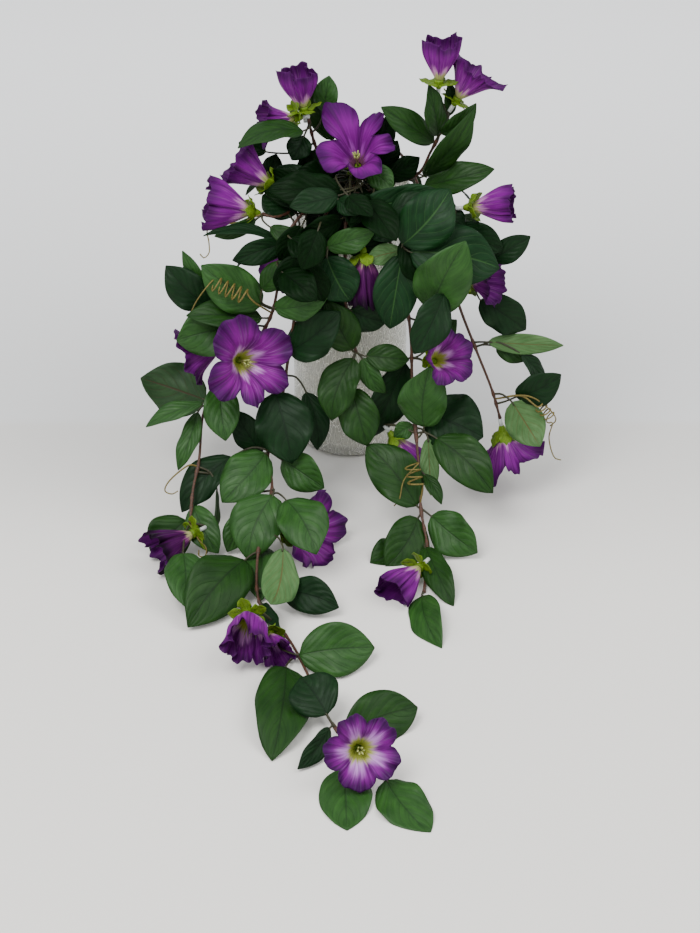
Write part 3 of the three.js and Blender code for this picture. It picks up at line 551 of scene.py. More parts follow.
def rod(path, radii, sides, slot, own):
    """A tube along a list of points, with a radius at each, and flat caps."""
    points, faces, kinds, corners = [], [], [], []
    count = len(path)
    side = None
    travelled = 0.0
    lengths = [0.0]
    for a, b in zip(path, path[1:]):
        travelled += (b - a).length
        lengths.append(travelled)
    for i, point in enumerate(path):
        run = (path[min(i + 1, count - 1)] - path[max(i - 1, 0)]).normalized()
        side = run.orthogonal().normalized() if side is None else (side - run * side.dot(run)).normalized()
        over = run.cross(side)
        for s in range(sides):
            turn = 2 * math.pi * s / sides
            points.append(point + (side * math.cos(turn) + over * math.sin(turn)) * radii[i])
    for i in range(count - 1):
        for s in range(sides):
            a = i * sides + s
            b = i * sides + (s + 1) % sides
            faces.append([a, b, b + sides, a + sides])
            kinds.append(slot)
            low, high = lengths[i] * WIRE_UV, lengths[i + 1] * WIRE_UV
            near, far = s / sides, (s + 1) / sides
            corners.extend([(low, near), (low, far), (high, far), (high, near)])
    for ring, flip in ((0, True), (count - 1, False)):
        cap = [ring * sides + s for s in range(sides)]
        faces.append(cap[::-1] if flip else cap)
        kinds.append(slot)
        corners.extend([(lengths[ring] * WIRE_UV, 0.5)] * sides)
    return points, faces, kinds, corners, own


def through(places, count):
    """Evenly spaced points on a smooth (centripetal Catmull-Rom) curve through the places."""
    ends = [places[0] * 2 - places[1]] + list(places) + [places[-1] * 2 - places[-2]]
    fine = []
    for p0, p1, p2, p3 in zip(ends, ends[1:], ends[2:], ends[3:]):
        t1 = max((p1 - p0).length ** 0.5, 1e-4)
        t2 = t1 + max((p2 - p1).length ** 0.5, 1e-4)
        t3 = t2 + max((p3 - p2).length ** 0.5, 1e-4)
        for i in range(CURVE_STEPS):
            t = t1 + (t2 - t1) * i / CURVE_STEPS
            a1 = p0.lerp(p1, t / t1)
            a2 = p1.lerp(p2, (t - t1) / (t2 - t1))
            a3 = p2.lerp(p3, (t - t2) / (t3 - t2))
            b1 = a1.lerp(a2, t / t2)
            b2 = a2.lerp(a3, (t - t1) / (t3 - t1))
            fine.append(b1.lerp(b2, (t - t1) / (t2 - t1)))
    fine.append(places[-1].copy())
    lengths = np.concatenate([[0], np.cumsum([(b - a).length for a, b in zip(fine, fine[1:])])])
    wanted = np.linspace(0, lengths[-1], count)
    table = np.array([tuple(p) for p in fine])
    return [Vector(p) for p in np.stack([np.interp(wanted, lengths, table[:, k]) for k in range(3)], axis=1)]


# %% [markdown]
# ## Where the sprays lie
# root: the azimuth and ring at the stalk's head. stem: places from the rim to the tip. leaf: foot, tip, width
# in mm, shade, and where its upper side faces if not to the viewer. bloom: base, mouth, rim radius and
# length in mm, how open it is from 0 to 1, the sepals' spread in degrees, and its form, whose lobes are (angle
# in the picture, reach). tendril: a path, or a path to a coil with its radius in mm, its turns and a tail.

# %%
AWAY = (180, -25)        # shows the pale underside to the viewer
SKYWARD = (0, 78)        # lies nearly level, so the viewer sees it thin


def leaf(foot, tip, width, shade=None, face=None, arch=BLADE["arch"]):
    return {"foot": foot, "tip": tip, "width": width, "face": face, "arch": arch, "shade": shade}


def bloom(base, mouth, radius, length, openness, spread=48, **form):
    return {
        "base": base, "mouth": mouth, "radius": radius, "length": length, "open": openness, "spread": spread,
        "form": form,
    }


# A leaf's shade picks one of the lit and shaded copies of the leaf cloth; the many deep leaves that fill the
# crown carry its painted shade.
SPRAYS = {
    "top_right": {
        "root": (100, "inner"),
        "stem": [(404, 180, 8), (420, 172, 6), (430, 153, 5), (437, 140, 5), (447, 116, 5)],
        "blooms": [
            bloom((439, 80, 6), (441, 46, 2), 16.5, 35, 0.1, 80),
            bloom((458, 98, 2), (474, 74, -2), 29, 31, 0.65, 80,
                  lobes=((128, 1.2), (70, 0.85), (-38, 1.12), (-110, 0.8), (-160, 0.85))),
        ],
        "leaves": [
            leaf((434, 142, 6), (382, 107, 15), 27, "moss"),
            leaf((424, 186, 12), (493, 168, 30), 30, "moss"),
            leaf((438, 136, 8), (430, 85, 14), 24, "moss"),
            leaf((449, 116, 2), (450, 81, -6), 15, "moss"),
            leaf((441, 134, 10), (476, 105, 16), 20, "moss"),
            leaf((424, 176, 9), (475, 116, 20), 28, "moss"),
        ],
    },
    "top_left": {
        "root": (-112, "outer"),
        "stem": [(322, 166, -12), (314, 142, -12), (308, 118, -10)],
        "blooms": [
            bloom((303, 107, -10), (298, 78, -12), 17.5, 34, 0.15, 75),
            bloom((294, 118, -4), (264, 121, 6), 19, 31, 0.6, 70,
                  lobes=((222, 1.45), (60, 1.1), (-30, 0.7), (130, 0.9), (0, 0.7))),
        ],
        "leaves": [
            leaf((324, 112, -22), (329, 76, -26), 24, "mid"),
            leaf((333, 140, -24), (305, 83, -16), 28, "moss"),
            leaf((304, 136, 0), (292, 160, 16), 24),
            leaf((268, 186, 2), (276, 154, -6), 24),
            leaf((320, 160, -8), (296, 176, 4), 26),
            leaf((303, 131, -2), (240, 144, 20), 28, "moss"),
            leaf((266, 152, 4), (238, 143, 10), 18),
        ],
    },
    "upper_left": {
        "root": (-88, "inner"),
        "stem": [(300, 203, 48), (288, 213, 62), (274, 217, 70), (262, 214, 68)],
        "blooms": [
            bloom((252, 212, 66), (208, 203, 68), 24, 44, 0.2),
            bloom((269, 184, 36), (238, 163, 32), 24, 38, 0.5),
        ],
        "leaves": [
            leaf((296, 214, 62), (262, 194, 44), 34),
            leaf((318, 196, 34), (277, 166, 18), 28),
            leaf((288, 243, 86), (234, 262, 92), 24, "dark"),
            leaf((256, 219, 72), (215, 237, 84), 15, "moss"),
            leaf((284, 241, 84), (204, 233, 96), 14, "dark", SKYWARD),
            leaf((270, 227, 80), (312, 246, 94), 18, "moss"),
        ],
        "tendrils": [
            {"path": ((262, 214, 68), (240, 222, 78), (208, 228, 80), (209, 243, 86), (209, 253, 90),
                      (204, 258, 92), (200, 254, 92))},
        ],
    },
    "top_centre": {
        "root": (0, "middle"),
        "upright": True,
        "stem": [(352, 192, 12), (353, 180, 10), (353, 176, 12)],
        "blooms": [
            bloom((358, 166, 8), (354, 139, 38), 40, 40, 0.93, 60, notch=0.62, ruffle=1.2, printed="plain",
                  lobes=((99, 1.34), (60, 1.15), (16, 0.95), (-58, 1.0), (-158, 0.95))),
        ],
        "leaves": [
            leaf((368, 160, 4), (393, 114, -6), 26),
            leaf((368, 171, 34), (393, 189, 50), 24, "mid"),
            leaf((336, 178, 8), (306, 152, -4), 26),
            leaf((363, 204, 68), (436, 190, 64), 32, "painted_sheen"),
            leaf((330, 214, 58), (264, 190, 46), 30, "deep"),
            leaf((318, 216, 66), (292, 184, 50), 22, "deep"),
            leaf((322, 190, 20), (268, 172, 12), 26, "deep"),
            leaf((358, 186, 12), (338, 164, -18), 26),
            leaf((350, 190, 20), (372, 212, 50), 22),
            leaf((346, 186, 12), (312, 200, 30), 24),
            leaf((376, 166, 8), (398, 141, -4), 20),
            leaf((380, 178, 12), (408, 158, 4), 16),
            leaf((344, 198, 46), (318, 186, 44), 20),
            leaf((340, 190, 30), (268, 188, 40), 34, "deep"),
            leaf((346, 192, 40), (306, 226, 66), 30, "deep"),
            leaf((354, 194, 44), (336, 232, 78), 28, "deep"),
            leaf((362, 192, 44), (376, 236, 82), 30, "deep"),
            leaf((372, 190, 40), (412, 216, 62), 30, "dark"),
            leaf((338, 196, 42), (290, 206, 62), 26, "dark"),
            leaf((334, 182, 16), (296, 172, 10), 26, "deep"),
            leaf((350, 196, 56), (352, 226, 80), 26, "deep"),
            leaf((384, 176, 10), (420, 158, -4), 24, "deep"),
            leaf((366, 184, 0), (398, 168, -22), 28, "deep"),
            leaf((340, 182, -4), (316, 160, -26), 28, "deep"),
            leaf((330, 196, 30), (284, 176, 24), 30, "deep"),
            leaf((348, 196, 60), (372, 216, 86), 22, "deep"),
            leaf((372, 198, 62), (352, 222, 90), 20, "deep"),
            leaf((338, 200, 62), (358, 214, 84), 18, "dark"),
            leaf((340, 178, -6), (356, 212, 24), 24, "deep"),
            leaf((366, 176, -8), (384, 208, 20), 24, "deep"),
        ],
    },
    "centre": {
        "root": (-4, "outer"),
        "stem": [
            (347, 213, 66), (345, 232, 84), (345, 262, 92), (344, 292, 98), (350, 325, 100),
            (356, 352, 104),
        ],
        "blooms": [
            bloom((364, 255, 92), (366, 290, 100), 16, 46, 0.2, belly=0.75, skin="painted_shade", ruffle=2,
                  ragged=0.08),
        ],
        "leaves": [
            leaf((327, 247, 94), (374, 233, 98), 24, "mid"),
            leaf((327, 257, 98), (350, 302, 114), 44, "painted_sheen"),
            leaf((352, 350, 106), (327, 302, 104), 38, "moss"),
            leaf((366, 356, 108), (409, 360, 112), 26, "moss"),
            leaf((354, 358, 108), (330, 420, 140), 38, "moss"),
            leaf((351, 388, 120), (367, 446, 152), 38, "moss"),
            leaf((352, 208, 58), (386, 228, 84), 26),
            leaf((334, 206, 60), (296, 206, 58), 24),
            leaf((340, 236, 88), (302, 244, 86), 26),
            leaf((342, 268, 94), (304, 290, 92), 30),
            leaf((347, 250, 88), (390, 246, 84), 22),
            leaf((362, 358, 107), (385, 394, 120), 20),
            leaf((340, 206, 58), (330, 230, 84), 20),
            leaf((346, 226, 84), (384, 256, 96), 32, "deep"),
            leaf((342, 218, 78), (300, 232, 84), 28, "deep"),
            leaf((348, 212, 70), (372, 244, 94), 28, "dark"),
            leaf((338, 246, 90), (302, 270, 96), 32, "deep"),
            leaf((346, 284, 100), (312, 312, 104), 28, "dark"),
            leaf((350, 310, 102), (388, 322, 106), 30, "dark"),
            leaf((348, 322, 104), (316, 344, 108), 28, "dark"),
        ],
    },
    "left_trail": {
        "root": (-40, "outer"),
        "stem": [
            (312, 206, 64), (294, 224, 82), (284, 250, 88), (272, 313, 96), (258, 338, 96), (240, 358, 98),
            (218, 382, 108), (204, 411, 122), (199, 460, 160), (193, 490, 182), (190, 524, 208),
        ],
        "blooms": [
            bloom((238, 360, 106), (258, 366, 148), 40, 42, 0.88, notch=0.34, ruffle=1.2, cleft=0,
                  printed="bright",
                  lobes=((128, 1.24), (34, 1.06), (-36, 1.0), (-92, 0.96), (-142, 1.2))),
            bloom((224, 342, 92), (190, 356, 98), 30, 38, 0.7),
            bloom((192, 534, 218), (160, 550, 236), 21, 38, 0.35, 85, skin="painted_shade", ruffle=2, ragged=0.08,
                  notch=0.4),
        ],
        "leaves": [
            leaf((262, 305, 98), (202, 266, 102), 42, "mid"),
            leaf((209, 306, 90), (166, 267, 84), 36, "dark"),
            leaf((262, 318, 100), (188, 312, 122), 32, face=(-10, 66)),
            leaf((236, 328, 108), (177, 341, 128), 46, "mid"),
            leaf((274, 308, 104), (327, 297, 118), 26, "mid"),
            leaf((262, 290, 102), (290, 262, 102), 24, "moss"),
            leaf((284, 250, 86), (232, 260, 84), 22, "dark"),
            leaf((206, 400, 116), (142, 378, 112), 52, face=AWAY),
            leaf((221, 384, 116), (226, 440, 160), 34, "mid"),
            leaf((262, 452, 140), (236, 411, 128), 28, "dark"),
            leaf((290, 238, 98), (322, 264, 110), 30, "deep"),
            leaf((302, 226, 94), (280, 262, 102), 26, "deep"),
            leaf((298, 256, 110), (278, 292, 114), 28, "deep"),
            leaf((282, 272, 104), (316, 298, 116), 32, "deep"),
            leaf((186, 520, 200), (152, 556, 232), 42),
            leaf((193, 506, 190), (218, 553, 226), 30),
            leaf((183, 553, 224), (186, 605, 290), 38, "mid"),
            leaf((207, 300, 84), (182, 252, 78), 16),
            leaf((204, 403, 136), (145, 425, 146), 20, face=SKYWARD),
            leaf((198, 412, 126), (177, 469, 166), 20),
            leaf((217, 490, 178), (208, 556, 224), 13, face=(70, 20)),
        ],
        "tendrils": [
            {"path": ((262, 314, 100), (252, 300, 112), (246, 297, 116)),
             "coil": ((246, 297, 116), (213, 283, 112)), "radius": 7, "turns": 5,
             "tail": ((206, 288, 112), (196, 302, 110), (190, 315, 106))},
            {"path": ((198, 466, 164), (190, 465, 168), (180, 471, 172), (167, 484, 178), (165, 491, 182),
                      (172, 494, 184), (178, 491, 184))},
            {"path": ((190, 524, 208), (199, 540, 222), (206, 548, 228), (205, 556, 232), (199, 556, 232),
                      (199, 550, 230))},
        ],
    },
    "long_trail": {
        "root": (-42, "inner"),
        "stem": [
            (326, 214, 74), (306, 245, 98), (297, 300, 106), (288, 360, 108), (278, 420, 124),
            (268, 452, 150), (272, 490, 190), (262, 530, 228), (257, 565, 262), (260, 604, 304),
            (290, 641, 352), (307, 673, 396), (327, 715, 454), (338, 732, 478),
        ],
        "blooms": [
            bloom((286, 532, 200), (317, 533, 222), 40, 40, 0.85, notch=0.4, ruffle=1.2, cleft=0,
                  printed="bright",
                  lobes=((84, 1.0), (14, 1.1), (-62, 1.1), (-130, 0.95), (152, 0.95))),
            bloom((249, 617, 350), (246, 652, 400), 21, 42, 0.35, 80, belly=0.8, ruffle=2.4, ragged=0.1,
                  notch=0.45),
            bloom((270, 635, 354), (281, 658, 384), 14, 28, 0.3, ruffle=2, ragged=0.08),
            bloom((358, 748, 510), (364, 754, 544), 33.5, 34, 1, 60, notch=0.3, cleft=0.07, ruffle=0.8,
                  printed="rayed", lobes=((114, 1.0), (48, 1.0), (-24, 1.0), (-102, 1.0), (176, 1.0))),
        ],
        "leaves": [
            leaf((288, 352, 111), (338, 313, 118), 42, "dark"),
            leaf((318, 230, 104), (302, 270, 118), 30, "deep"),
            leaf((308, 262, 114), (324, 302, 120), 26, "deep"),
            leaf((275, 392, 126), (292, 463, 170), 54, "dark"),
            leaf((306, 392, 106), (318, 450, 134), 26),
            leaf((232, 457, 152), (180, 510, 186), 34, "dark"),
            leaf((266, 453, 152), (222, 501, 186), 46, "mid"),
            leaf((282, 460, 152), (323, 488, 178), 36, "mid"),
            leaf((273, 495, 204), (247, 558, 252), 50, "mid"),
            leaf((286, 500, 204), (316, 553, 244), 46, "mid"),
            leaf((245, 560, 252), (190, 624, 326), 54, "moss"),
            leaf((238, 566, 248), (188, 594, 288), 30),
            leaf((283, 548, 264), (270, 607, 334), 34, "pale", AWAY),
            leaf((262, 548, 232), (260, 600, 290), 34, "mid"),
            leaf((284, 592, 290), (338, 607, 312), 34, "dark"),
            leaf((262, 604, 306), (284, 650, 364), 28, "dark"),
            leaf((242, 512, 196), (228, 552, 220), 24),
            leaf((299, 655, 380), (375, 648, 374), 48, "mid"),
            leaf((286, 667, 388), (273, 758, 506), 48, "moss"),
            leaf((327, 715, 456), (300, 677, 404), 44, "dark"),
            leaf((345, 735, 478), (418, 707, 452), 46, "moss"),
            leaf((345, 768, 512), (347, 830, 588), 44, "mid", SKYWARD, 0.02),
            leaf((386, 780, 526), (430, 832, 588), 42, "mid", SKYWARD, 0.02),
            leaf((330, 728, 476), (299, 769, 520), 18),
        ],
    },
    "right_front": {
        "root": (30, "outer"),
        "stem": [(384, 206, 66), (398, 228, 90), (406, 248, 98), (414, 262, 102)],
        "leaves": [
            leaf((402, 254, 104), (389, 330, 122), 40, "painted_sheen"),
            leaf((402, 245, 104), (450, 190, 90), 50, "painted_sheen"),
            leaf((410, 252, 108), (500, 268, 112), 56, "painted_sheen"),
            leaf((390, 214, 74), (432, 196, 62), 24),
            leaf((402, 251, 102), (366, 260, 100), 20, "pale", AWAY),
            leaf((398, 236, 90), (366, 232, 84), 20),
            leaf((366, 202, 76), (396, 240, 106), 32, "deep"),
            leaf((402, 240, 94), (430, 284, 108), 34, "deep"),
            leaf((392, 220, 78), (428, 224, 72), 32, "deep"),
        ],
    },
    "right_side": {
        "root": (66, "outer"),
        "stem": [(408, 198, 44), (432, 206, 54), (456, 226, 60), (474, 250, 60), (484, 270, 58)],
        "blooms": [
            bloom((472, 207, 60), (508, 204, 66), 17, 38, 0.15),
            bloom((470, 281, 74), (495, 285, 88), 20, 30, 0.5),
        ],
        "leaves": [
            leaf((458, 228, 60), (503, 250, 72), 32),
            leaf((490, 262, 66), (530, 237, 66), 24, "dark"),
            leaf((480, 300, 80), (526, 331, 90), 36, "dark"),
            leaf((434, 206, 50), (466, 228, 62), 26),
        ],
    },
    "right_trail": {
        "root": (10, "inner"),
        "stem": [
            (372, 216, 76), (394, 250, 88), (406, 300, 98), (411, 340, 102), (412, 376, 110),
            (415, 422, 130), (419, 470, 160), (421, 510, 188), (427, 545, 218), (424, 592, 276),
        ],
        "blooms": [
            bloom((434, 361, 112), (453, 355, 142), 26, 34, 0.78, notch=0.22, ruffle=0.9, cleft=0,
                  printed="bright",
                  lobes=((112, 1.1), (32, 1.08), (-40, 1.1), (-104, 1.05), (-170, 0.85)), fold=0.01),
            bloom((394, 438, 126), (410, 459, 134), 18, 34, 0.3, ruffle=2),
            bloom((419, 568, 254), (389, 596, 290), 18, 42, 0.2, 70),
        ],
        "leaves": [
            leaf((432, 311, 116), (464, 245, 130), 52, "mid"),
            leaf((444, 294, 120), (415, 354, 138), 36, "dark"),
            leaf((424, 427, 138), (430, 368, 134), 46, "mid"),
            leaf((426, 412, 120), (483, 437, 142), 58, "dark"),
            leaf((436, 438, 142), (492, 491, 184), 42, "moss"),
            leaf((417, 506, 184), (367, 444, 146), 46, "moss"),
            leaf((405, 362, 112), (368, 440, 142), 38, "dark"),
            leaf((424, 352, 104), (456, 320, 104), 28),
            leaf((431, 516, 192), (477, 553, 226), 40, "mid"),
            leaf((418, 518, 192), (387, 567, 232), 42, "moss"),
            leaf((404, 548, 214), (371, 584, 262), 32, "moss"),
            leaf((425, 547, 222), (453, 606, 288), 26, "moss"),
            leaf((422, 596, 280), (440, 648, 350), 34, "mid"),
            leaf((428, 438, 142), (431, 496, 178), 18, "pale", AWAY),
            leaf((424, 474, 162), (442, 503, 184), 13),
            leaf((413, 425, 130), (394, 437, 136), 18),
        ],
        "tendrils": [
            {"path": ((420, 500, 182), (424, 488, 180)),
             "coil": ((416, 486, 182), (412, 464, 172)), "radius": 7, "turns": 3,
             "tail": ((404, 480, 178), (399, 500, 186), (394, 506, 188))},
        ],
    },
    "far_right": {
        "root": (56, "inner"),
        "stem": [
            (404, 210, 62), (434, 242, 78), (452, 278, 84), (459, 305, 84), (477, 352, 88), (492, 390, 95),
            (500, 418, 100),
        ],
        "blooms": [
            bloom((503, 433, 103), (508, 456, 108), 32, 28, 0.6, 30, ruffle=1.8,
                  lobes=((176, 1.05), (-140, 1.05), (-85, 0.85), (-5, 1.12), (90, 0.8))),
        ],
        "leaves": [
            leaf((488, 342, 94), (563, 345, 102), 20, "pale", AWAY),
            leaf((496, 346, 84), (532, 356, 88), 27),
            leaf((512, 402, 104), (540, 446, 124), 38, "pale", AWAY),
            leaf((516, 397, 98), (561, 375, 98), 32),
            leaf((521, 354, 94), (544, 387, 102), 19, "dark", (40, 30)),
        ],
        "tendrils": [
            {"path": ((507, 398, 99), (522, 396, 104), (536, 402, 106)),
             "coil": ((538, 404, 106), (552, 419, 106)), "radius": 5.5, "turns": 4,
             "tail": ((549, 438, 108), (555, 458, 110), (561, 460, 110))},
            {"path": ((507, 398, 99), (528, 396, 106), (548, 408, 108), (556, 420, 108), (550, 426, 108))},
        ],
    },
}
# The sprays at the back follow a rule: an arch over the rim with pairs of leaves and a bloom at the end.
BACK = {
    "back_left": {"azimuth": 207, "reach": 112, "drop": 124, "root": (212, "outer"), "seed": 11},
    "back_middle": {"azimuth": 176, "reach": 102, "drop": 128, "root": (180, "outer"), "seed": 23},
    "back_right": {"azimuth": 140, "reach": 116, "drop": 116, "root": (140, "outer"), "seed": 37},
}
BACK_PAIRS = 3
BACK_STEPS = 200         # points along a back stem, for placing its leaves


def seeded(seed):
    """The same run of numbers from 0 to 1 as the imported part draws."""
    state = seed
    while True:
        state = (state * 1664525 + 1013904223) % 4294967296
        yield state / 4294967296


def back_spray(azimuth, reach, drop, root, seed):
    """A spray that goes out over the rim at an azimuth, as far as reach, and hangs down by drop."""
    draw = seeded(seed)
    out = heading(azimuth, 0)
    side = out.cross(UP)
    rim = vase_high.z

    def at(distance, height):
        return out * (distance * MM) + UP * height

    stem = [at(62, rim + 14 * MM), at(reach * 0.82, rim - 24 * MM), at(reach, rim - 78 * MM),
            at(reach + 8, rim - drop * MM)]
    line = through(stem, BACK_STEPS)
    leaves = []
    for pair in range(BACK_PAIRS):
        foot = line[round((BACK_STEPS - 1) * (0.3 + 0.62 * pair / (BACK_PAIRS - 1)))]
        for hand in (-1, 1):
            length = 52 + 16 * next(draw)
            aim = side * (hand * (0.8 + 0.3 * next(draw))) + out * 0.55
            aim = (aim + UP * (-0.35 - 0.4 * next(draw))).normalized()
            near, far = foot + aim * 13 * MM, foot + aim * (13 + length) * MM
            leaves.append(leaf(near, far, 30 + 10 * next(draw), face=(out * 0.6 + UP * 0.9).normalized()))
    end = line[-1]
    tip = bloom(end - UP * 7 * MM, end + out * 24 * MM - UP * 32 * MM, 30, 40, 0.7, 50)
    return {"root": root, "stem": stem, "blooms": [tip], "leaves": leaves}


for name, rule in BACK.items():
    SPRAYS[name] = back_spray(**rule)
print("sprays", len(SPRAYS), "leaves", sum(len(s["leaves"]) for s in SPRAYS.values()))

# %% [markdown]
# ## Leaves
# An oval that comes to a point, folded along its midrib, arched and drooped along its length, with waved
# edges. Sepals are small ones.

# %%
def off_floor(point):
    """Keeps the middle of a sheet above the surface."""
    point.z = max(point.z, FLOOR_GAP * MM + SHEET_RISE * MM)
    return point


def outline(share):
    """Half width at a share of the length, as a share of the greatest half width."""
    return (share ** 0.5) * (1 - share ** 2.2) ** 0.9 / 0.57


def blade_rows(foot, tip, face, width, arch, luck):
    """Rows of points across a blade, from its foot to its tip. With an arch near 0 it lies flat."""
    span = tip - foot
    length = span.length
    along = span.normalized()
    up = (face - along * face.dot(along)).normalized()
    left = up.cross(along)
    waves = [(luck.uniform(1.1, 2.3), luck.uniform(0, 6.3), luck.uniform(0.5, 1.2)) for _ in range(2)]
    flat = min(1.0, abs(arch) / BLADE["arch"])
    lean = luck.uniform(-0.16, 0.16) * flat
    twist = luck.uniform(-0.5, 0.5) * flat
    sway = luck.uniform(-0.06, 0.06) * length
    droop = BLADE["droop"] * luck.uniform(0.4, 1.8)
    rows = []
    for r in range(BLADE["rows"] + 1):
        share = r / BLADE["rows"]
        half = max(outline(share) * width / 2, 0.5 * MM)
        bow = arch * 4 * share * (1 - share) - droop * max(0.0, share - 0.55) ** 2 * 2.2
        middle = foot + along * (share * length) + up * (bow * length)
        middle += left * (sway * 4 * share * (1 - share))
        row = []
        for c in range(BLADE["columns"] + 1):
            across = 2 * c / BLADE["columns"] - 1
            count, phase, amount = waves[0 if across < 0 else 1]
            reach = abs(across)
            lift = BLADE["fold"] * flat * half * (reach - 0.55 * reach ** 2)
            lift += (lean + twist * (share - 0.4)) * half * across
            wave = math.sin(2 * math.pi * count * share + phase) * amount * reach ** 2.5
            wave *= math.sin(math.pi * share)
            lift += BLADE["wave"] * width * wave
            row.append(off_floor(middle - left * (across * half) + up * lift))
        rows.append(row)
    return rows


def facing(spec, middle, roll):
    """Where a leaf's upper side faces: as listed, or to the viewer, outwards and a little up, and rolled."""
    face = spec["face"]
    if isinstance(face, Vector):
        return face
    if face:
        return heading(*face)
    out = Vector((middle.x, middle.y, 0)).normalized()
    face = ((EYE - middle).normalized() + out * 0.3 + UP * 0.15).normalized()
    side = face.cross(as_point(spec["tip"]) - as_point(spec["foot"])).normalized()
    return (face + side * math.tan(math.radians(roll))).normalized()


# %% [markdown]
# ## Blooms
# A corolla is one cloth funnel: narrow tube, flare, and lobes that are notched, ruffled and each bent their
# own way. Its form says how deep the notches and clefts are, and how ruffled, bellied, ragged, folded and
# overlapped the cloth is, as shares of the bloom's size.

# %%
USUAL_FORM = {"notch": 0.22, "ruffle": 1.0, "belly": 0.5, "cleft": 0.05, "ragged": 0.035}
TURN_STEP = 3            # degrees


def bloom_frame(base, mouth):
    axis = (mouth - base).normalized()
    side = axis.cross(Vector((1, 0, 0)) if abs(axis.z) > 0.9 else UP).normalized()
    return axis, side, axis.cross(side)


def turn_seen_at(picture_angle, side, over):
    """The turn about a bloom's axis that lies at an angle in the picture, from the right and upwards."""
    wanted = math.radians(picture_angle)

    def miss(turn):
        away = side * math.cos(turn) + over * math.sin(turn)
        shown = math.atan2(away.dot(SEEN_UP), away.x)
        return abs((shown - wanted + math.pi) % (2 * math.pi) - math.pi)
    return min((math.radians(degree) for degree in range(0, 360, TURN_STEP)), key=miss)


def lobe_plan(form, side, over, luck):
    """The lobes around a corolla, each from one notch to the next, with how far it reaches."""
    if "lobes" in form:
        lobes = [(turn_seen_at(angle, side, over), reach) for angle, reach in form["lobes"]]
    else:
        count = PETAL["lobes"]
        first = luck.uniform(0, 6.3)
        lobes = [
            (first + 2 * math.pi * (i + luck.uniform(-0.14, 0.14)) / count, luck.uniform(0.93, 1.06))
            for i in range(count)
        ]
    lobes = sorted((turn % (2 * math.pi), reach) for turn, reach in lobes)
    plan = []
    for i, (turn, reach) in enumerate(lobes):
        before, after = lobes[i - 1][0], lobes[(i + 1) % len(lobes)][0]
        start = turn - ((turn - before) % (2 * math.pi)) / 2
        end = turn + ((after - turn) % (2 * math.pi)) / 2
        plan.append({
            "start": start, "span": end - start, "reach": reach, "bend": luck.uniform(-1, 1),
            "longer": luck.uniform(-1, 1), "waves": [luck.uniform(0, 6.3) for _ in range(3)],
        })
    return plan


def wavy(place, phases, counts):
    """An uneven wave over a lobe, of about one in size."""
    weights = (0.55, 0.35, 0.25)
    return sum(weight * math.sin(2 * math.pi * count * place + phase)
               for weight, count, phase in zip(weights, counts, phases))


def corolla_rows(spec, luck):
    """Rings of points around a corolla, from its foot in the calyx to its rim."""
    base = spec["base"]
    radius = spec["radius"] * MM
    length = spec["length"] * MM
    openness = spec["open"]
    form = {
        **USUAL_FORM, "fold": 0.12 * (1 - openness), "overlap": 0.3 * max(0.0, 0.75 - openness),
        **spec["form"],
    }
    axis, side, over = bloom_frame(base, spec["mouth"])
    foot = PETAL["foot"] * MM
    shut = 1 - openness
    keys = [
        (0, 0), (form["belly"] - 0.35 * openness, 0.32), (0.95 - 0.44 * openness, 0.7 + 0.12 * openness),
        (1, 1.04 - 0.12 * openness),
    ]
    spots = [Vector((foot + (radius - foot) * r, 0.3 * MM + length * h, 0)) for r, h in keys]
    profile = through(spots, PETAL["rows"] + 1)
    plan = lobe_plan(form, side, over, luck)
    rows = []
    for r, spot in enumerate(profile):
        share = r / PETAL["rows"]
        late = share ** 3
        row = []
        for lobe in plan:
            waves = lobe["waves"]
            for c in range(PETAL["per_lobe"]):
                inside = c / PETAL["per_lobe"]
                tuck = form["overlap"] * share ** 0.7 * math.sin(2 * math.pi * inside)
                turn = lobe["start"] + lobe["span"] * (inside - tuck)
                dome = math.sin(math.pi * inside)
                cleft = form["cleft"] * math.exp(-((inside - 0.5) / 0.13) ** 2)
                cut = 1 - form["notch"] * (1 - dome ** 0.7) - cleft
                reach = spot.x * (1 + (cut * lobe["reach"] - 1) * late)
                reach *= 1 + form["ragged"] * dome * share ** 6 * wavy(inside, waves, (2.3, 3.7, 6.3))
                crease = wavy(inside, waves, (1.7, 3.1, 4.4))
                pleat = 0.6 * math.cos(4 * math.pi * inside) + 0.7 * dome * crease
                reach *= 1 - form["fold"] * share * pleat + 0.7 * tuck
                ridge = -math.cos(2 * math.pi * inside) * 0.045 * share * (1 - 0.4 * share)
                crimp = dome * wavy(inside, waves[::-1], (1.3, 2.6, 4.1))
                lift = ridge + late * (0.17 * lobe["bend"] * dome + 0.13 * crimp)
                lift = radius * form["ruffle"] * lift + length * shut * 0.14 * late * lobe["longer"] * dome
                out = side * math.cos(turn) + over * math.sin(turn)
                row.append(off_floor(base + out * reach + axis * (spot.y + lift)))
        rows.append(row)
    return rows


def sepal_place(spec, number, luck):
    """A sepal's foot, its tip and where its upper side faces."""
    base = spec["base"]
    axis, side, over = bloom_frame(base, spec["mouth"])
    turn = 0.5 + 2 * math.pi * (number + 0.5) / CALYX["sepals"] + luck.uniform(-0.15, 0.15)
    out = side * math.cos(turn) + over * math.sin(turn)
    lean = math.radians(spec["spread"] + luck.uniform(-8, 8))
    foot = base + out * (CALYX["radius"] - 1.2) * MM - axis * 3 * MM
    aim = out * math.sin(lean) + axis * math.cos(lean)
    tip = foot + aim * CALYX["sepal_length"] * luck.uniform(0.9, 1.08) * MM
    face = (axis * math.sin(lean) - out * math.cos(lean)).normalized()
    return foot, tip, face


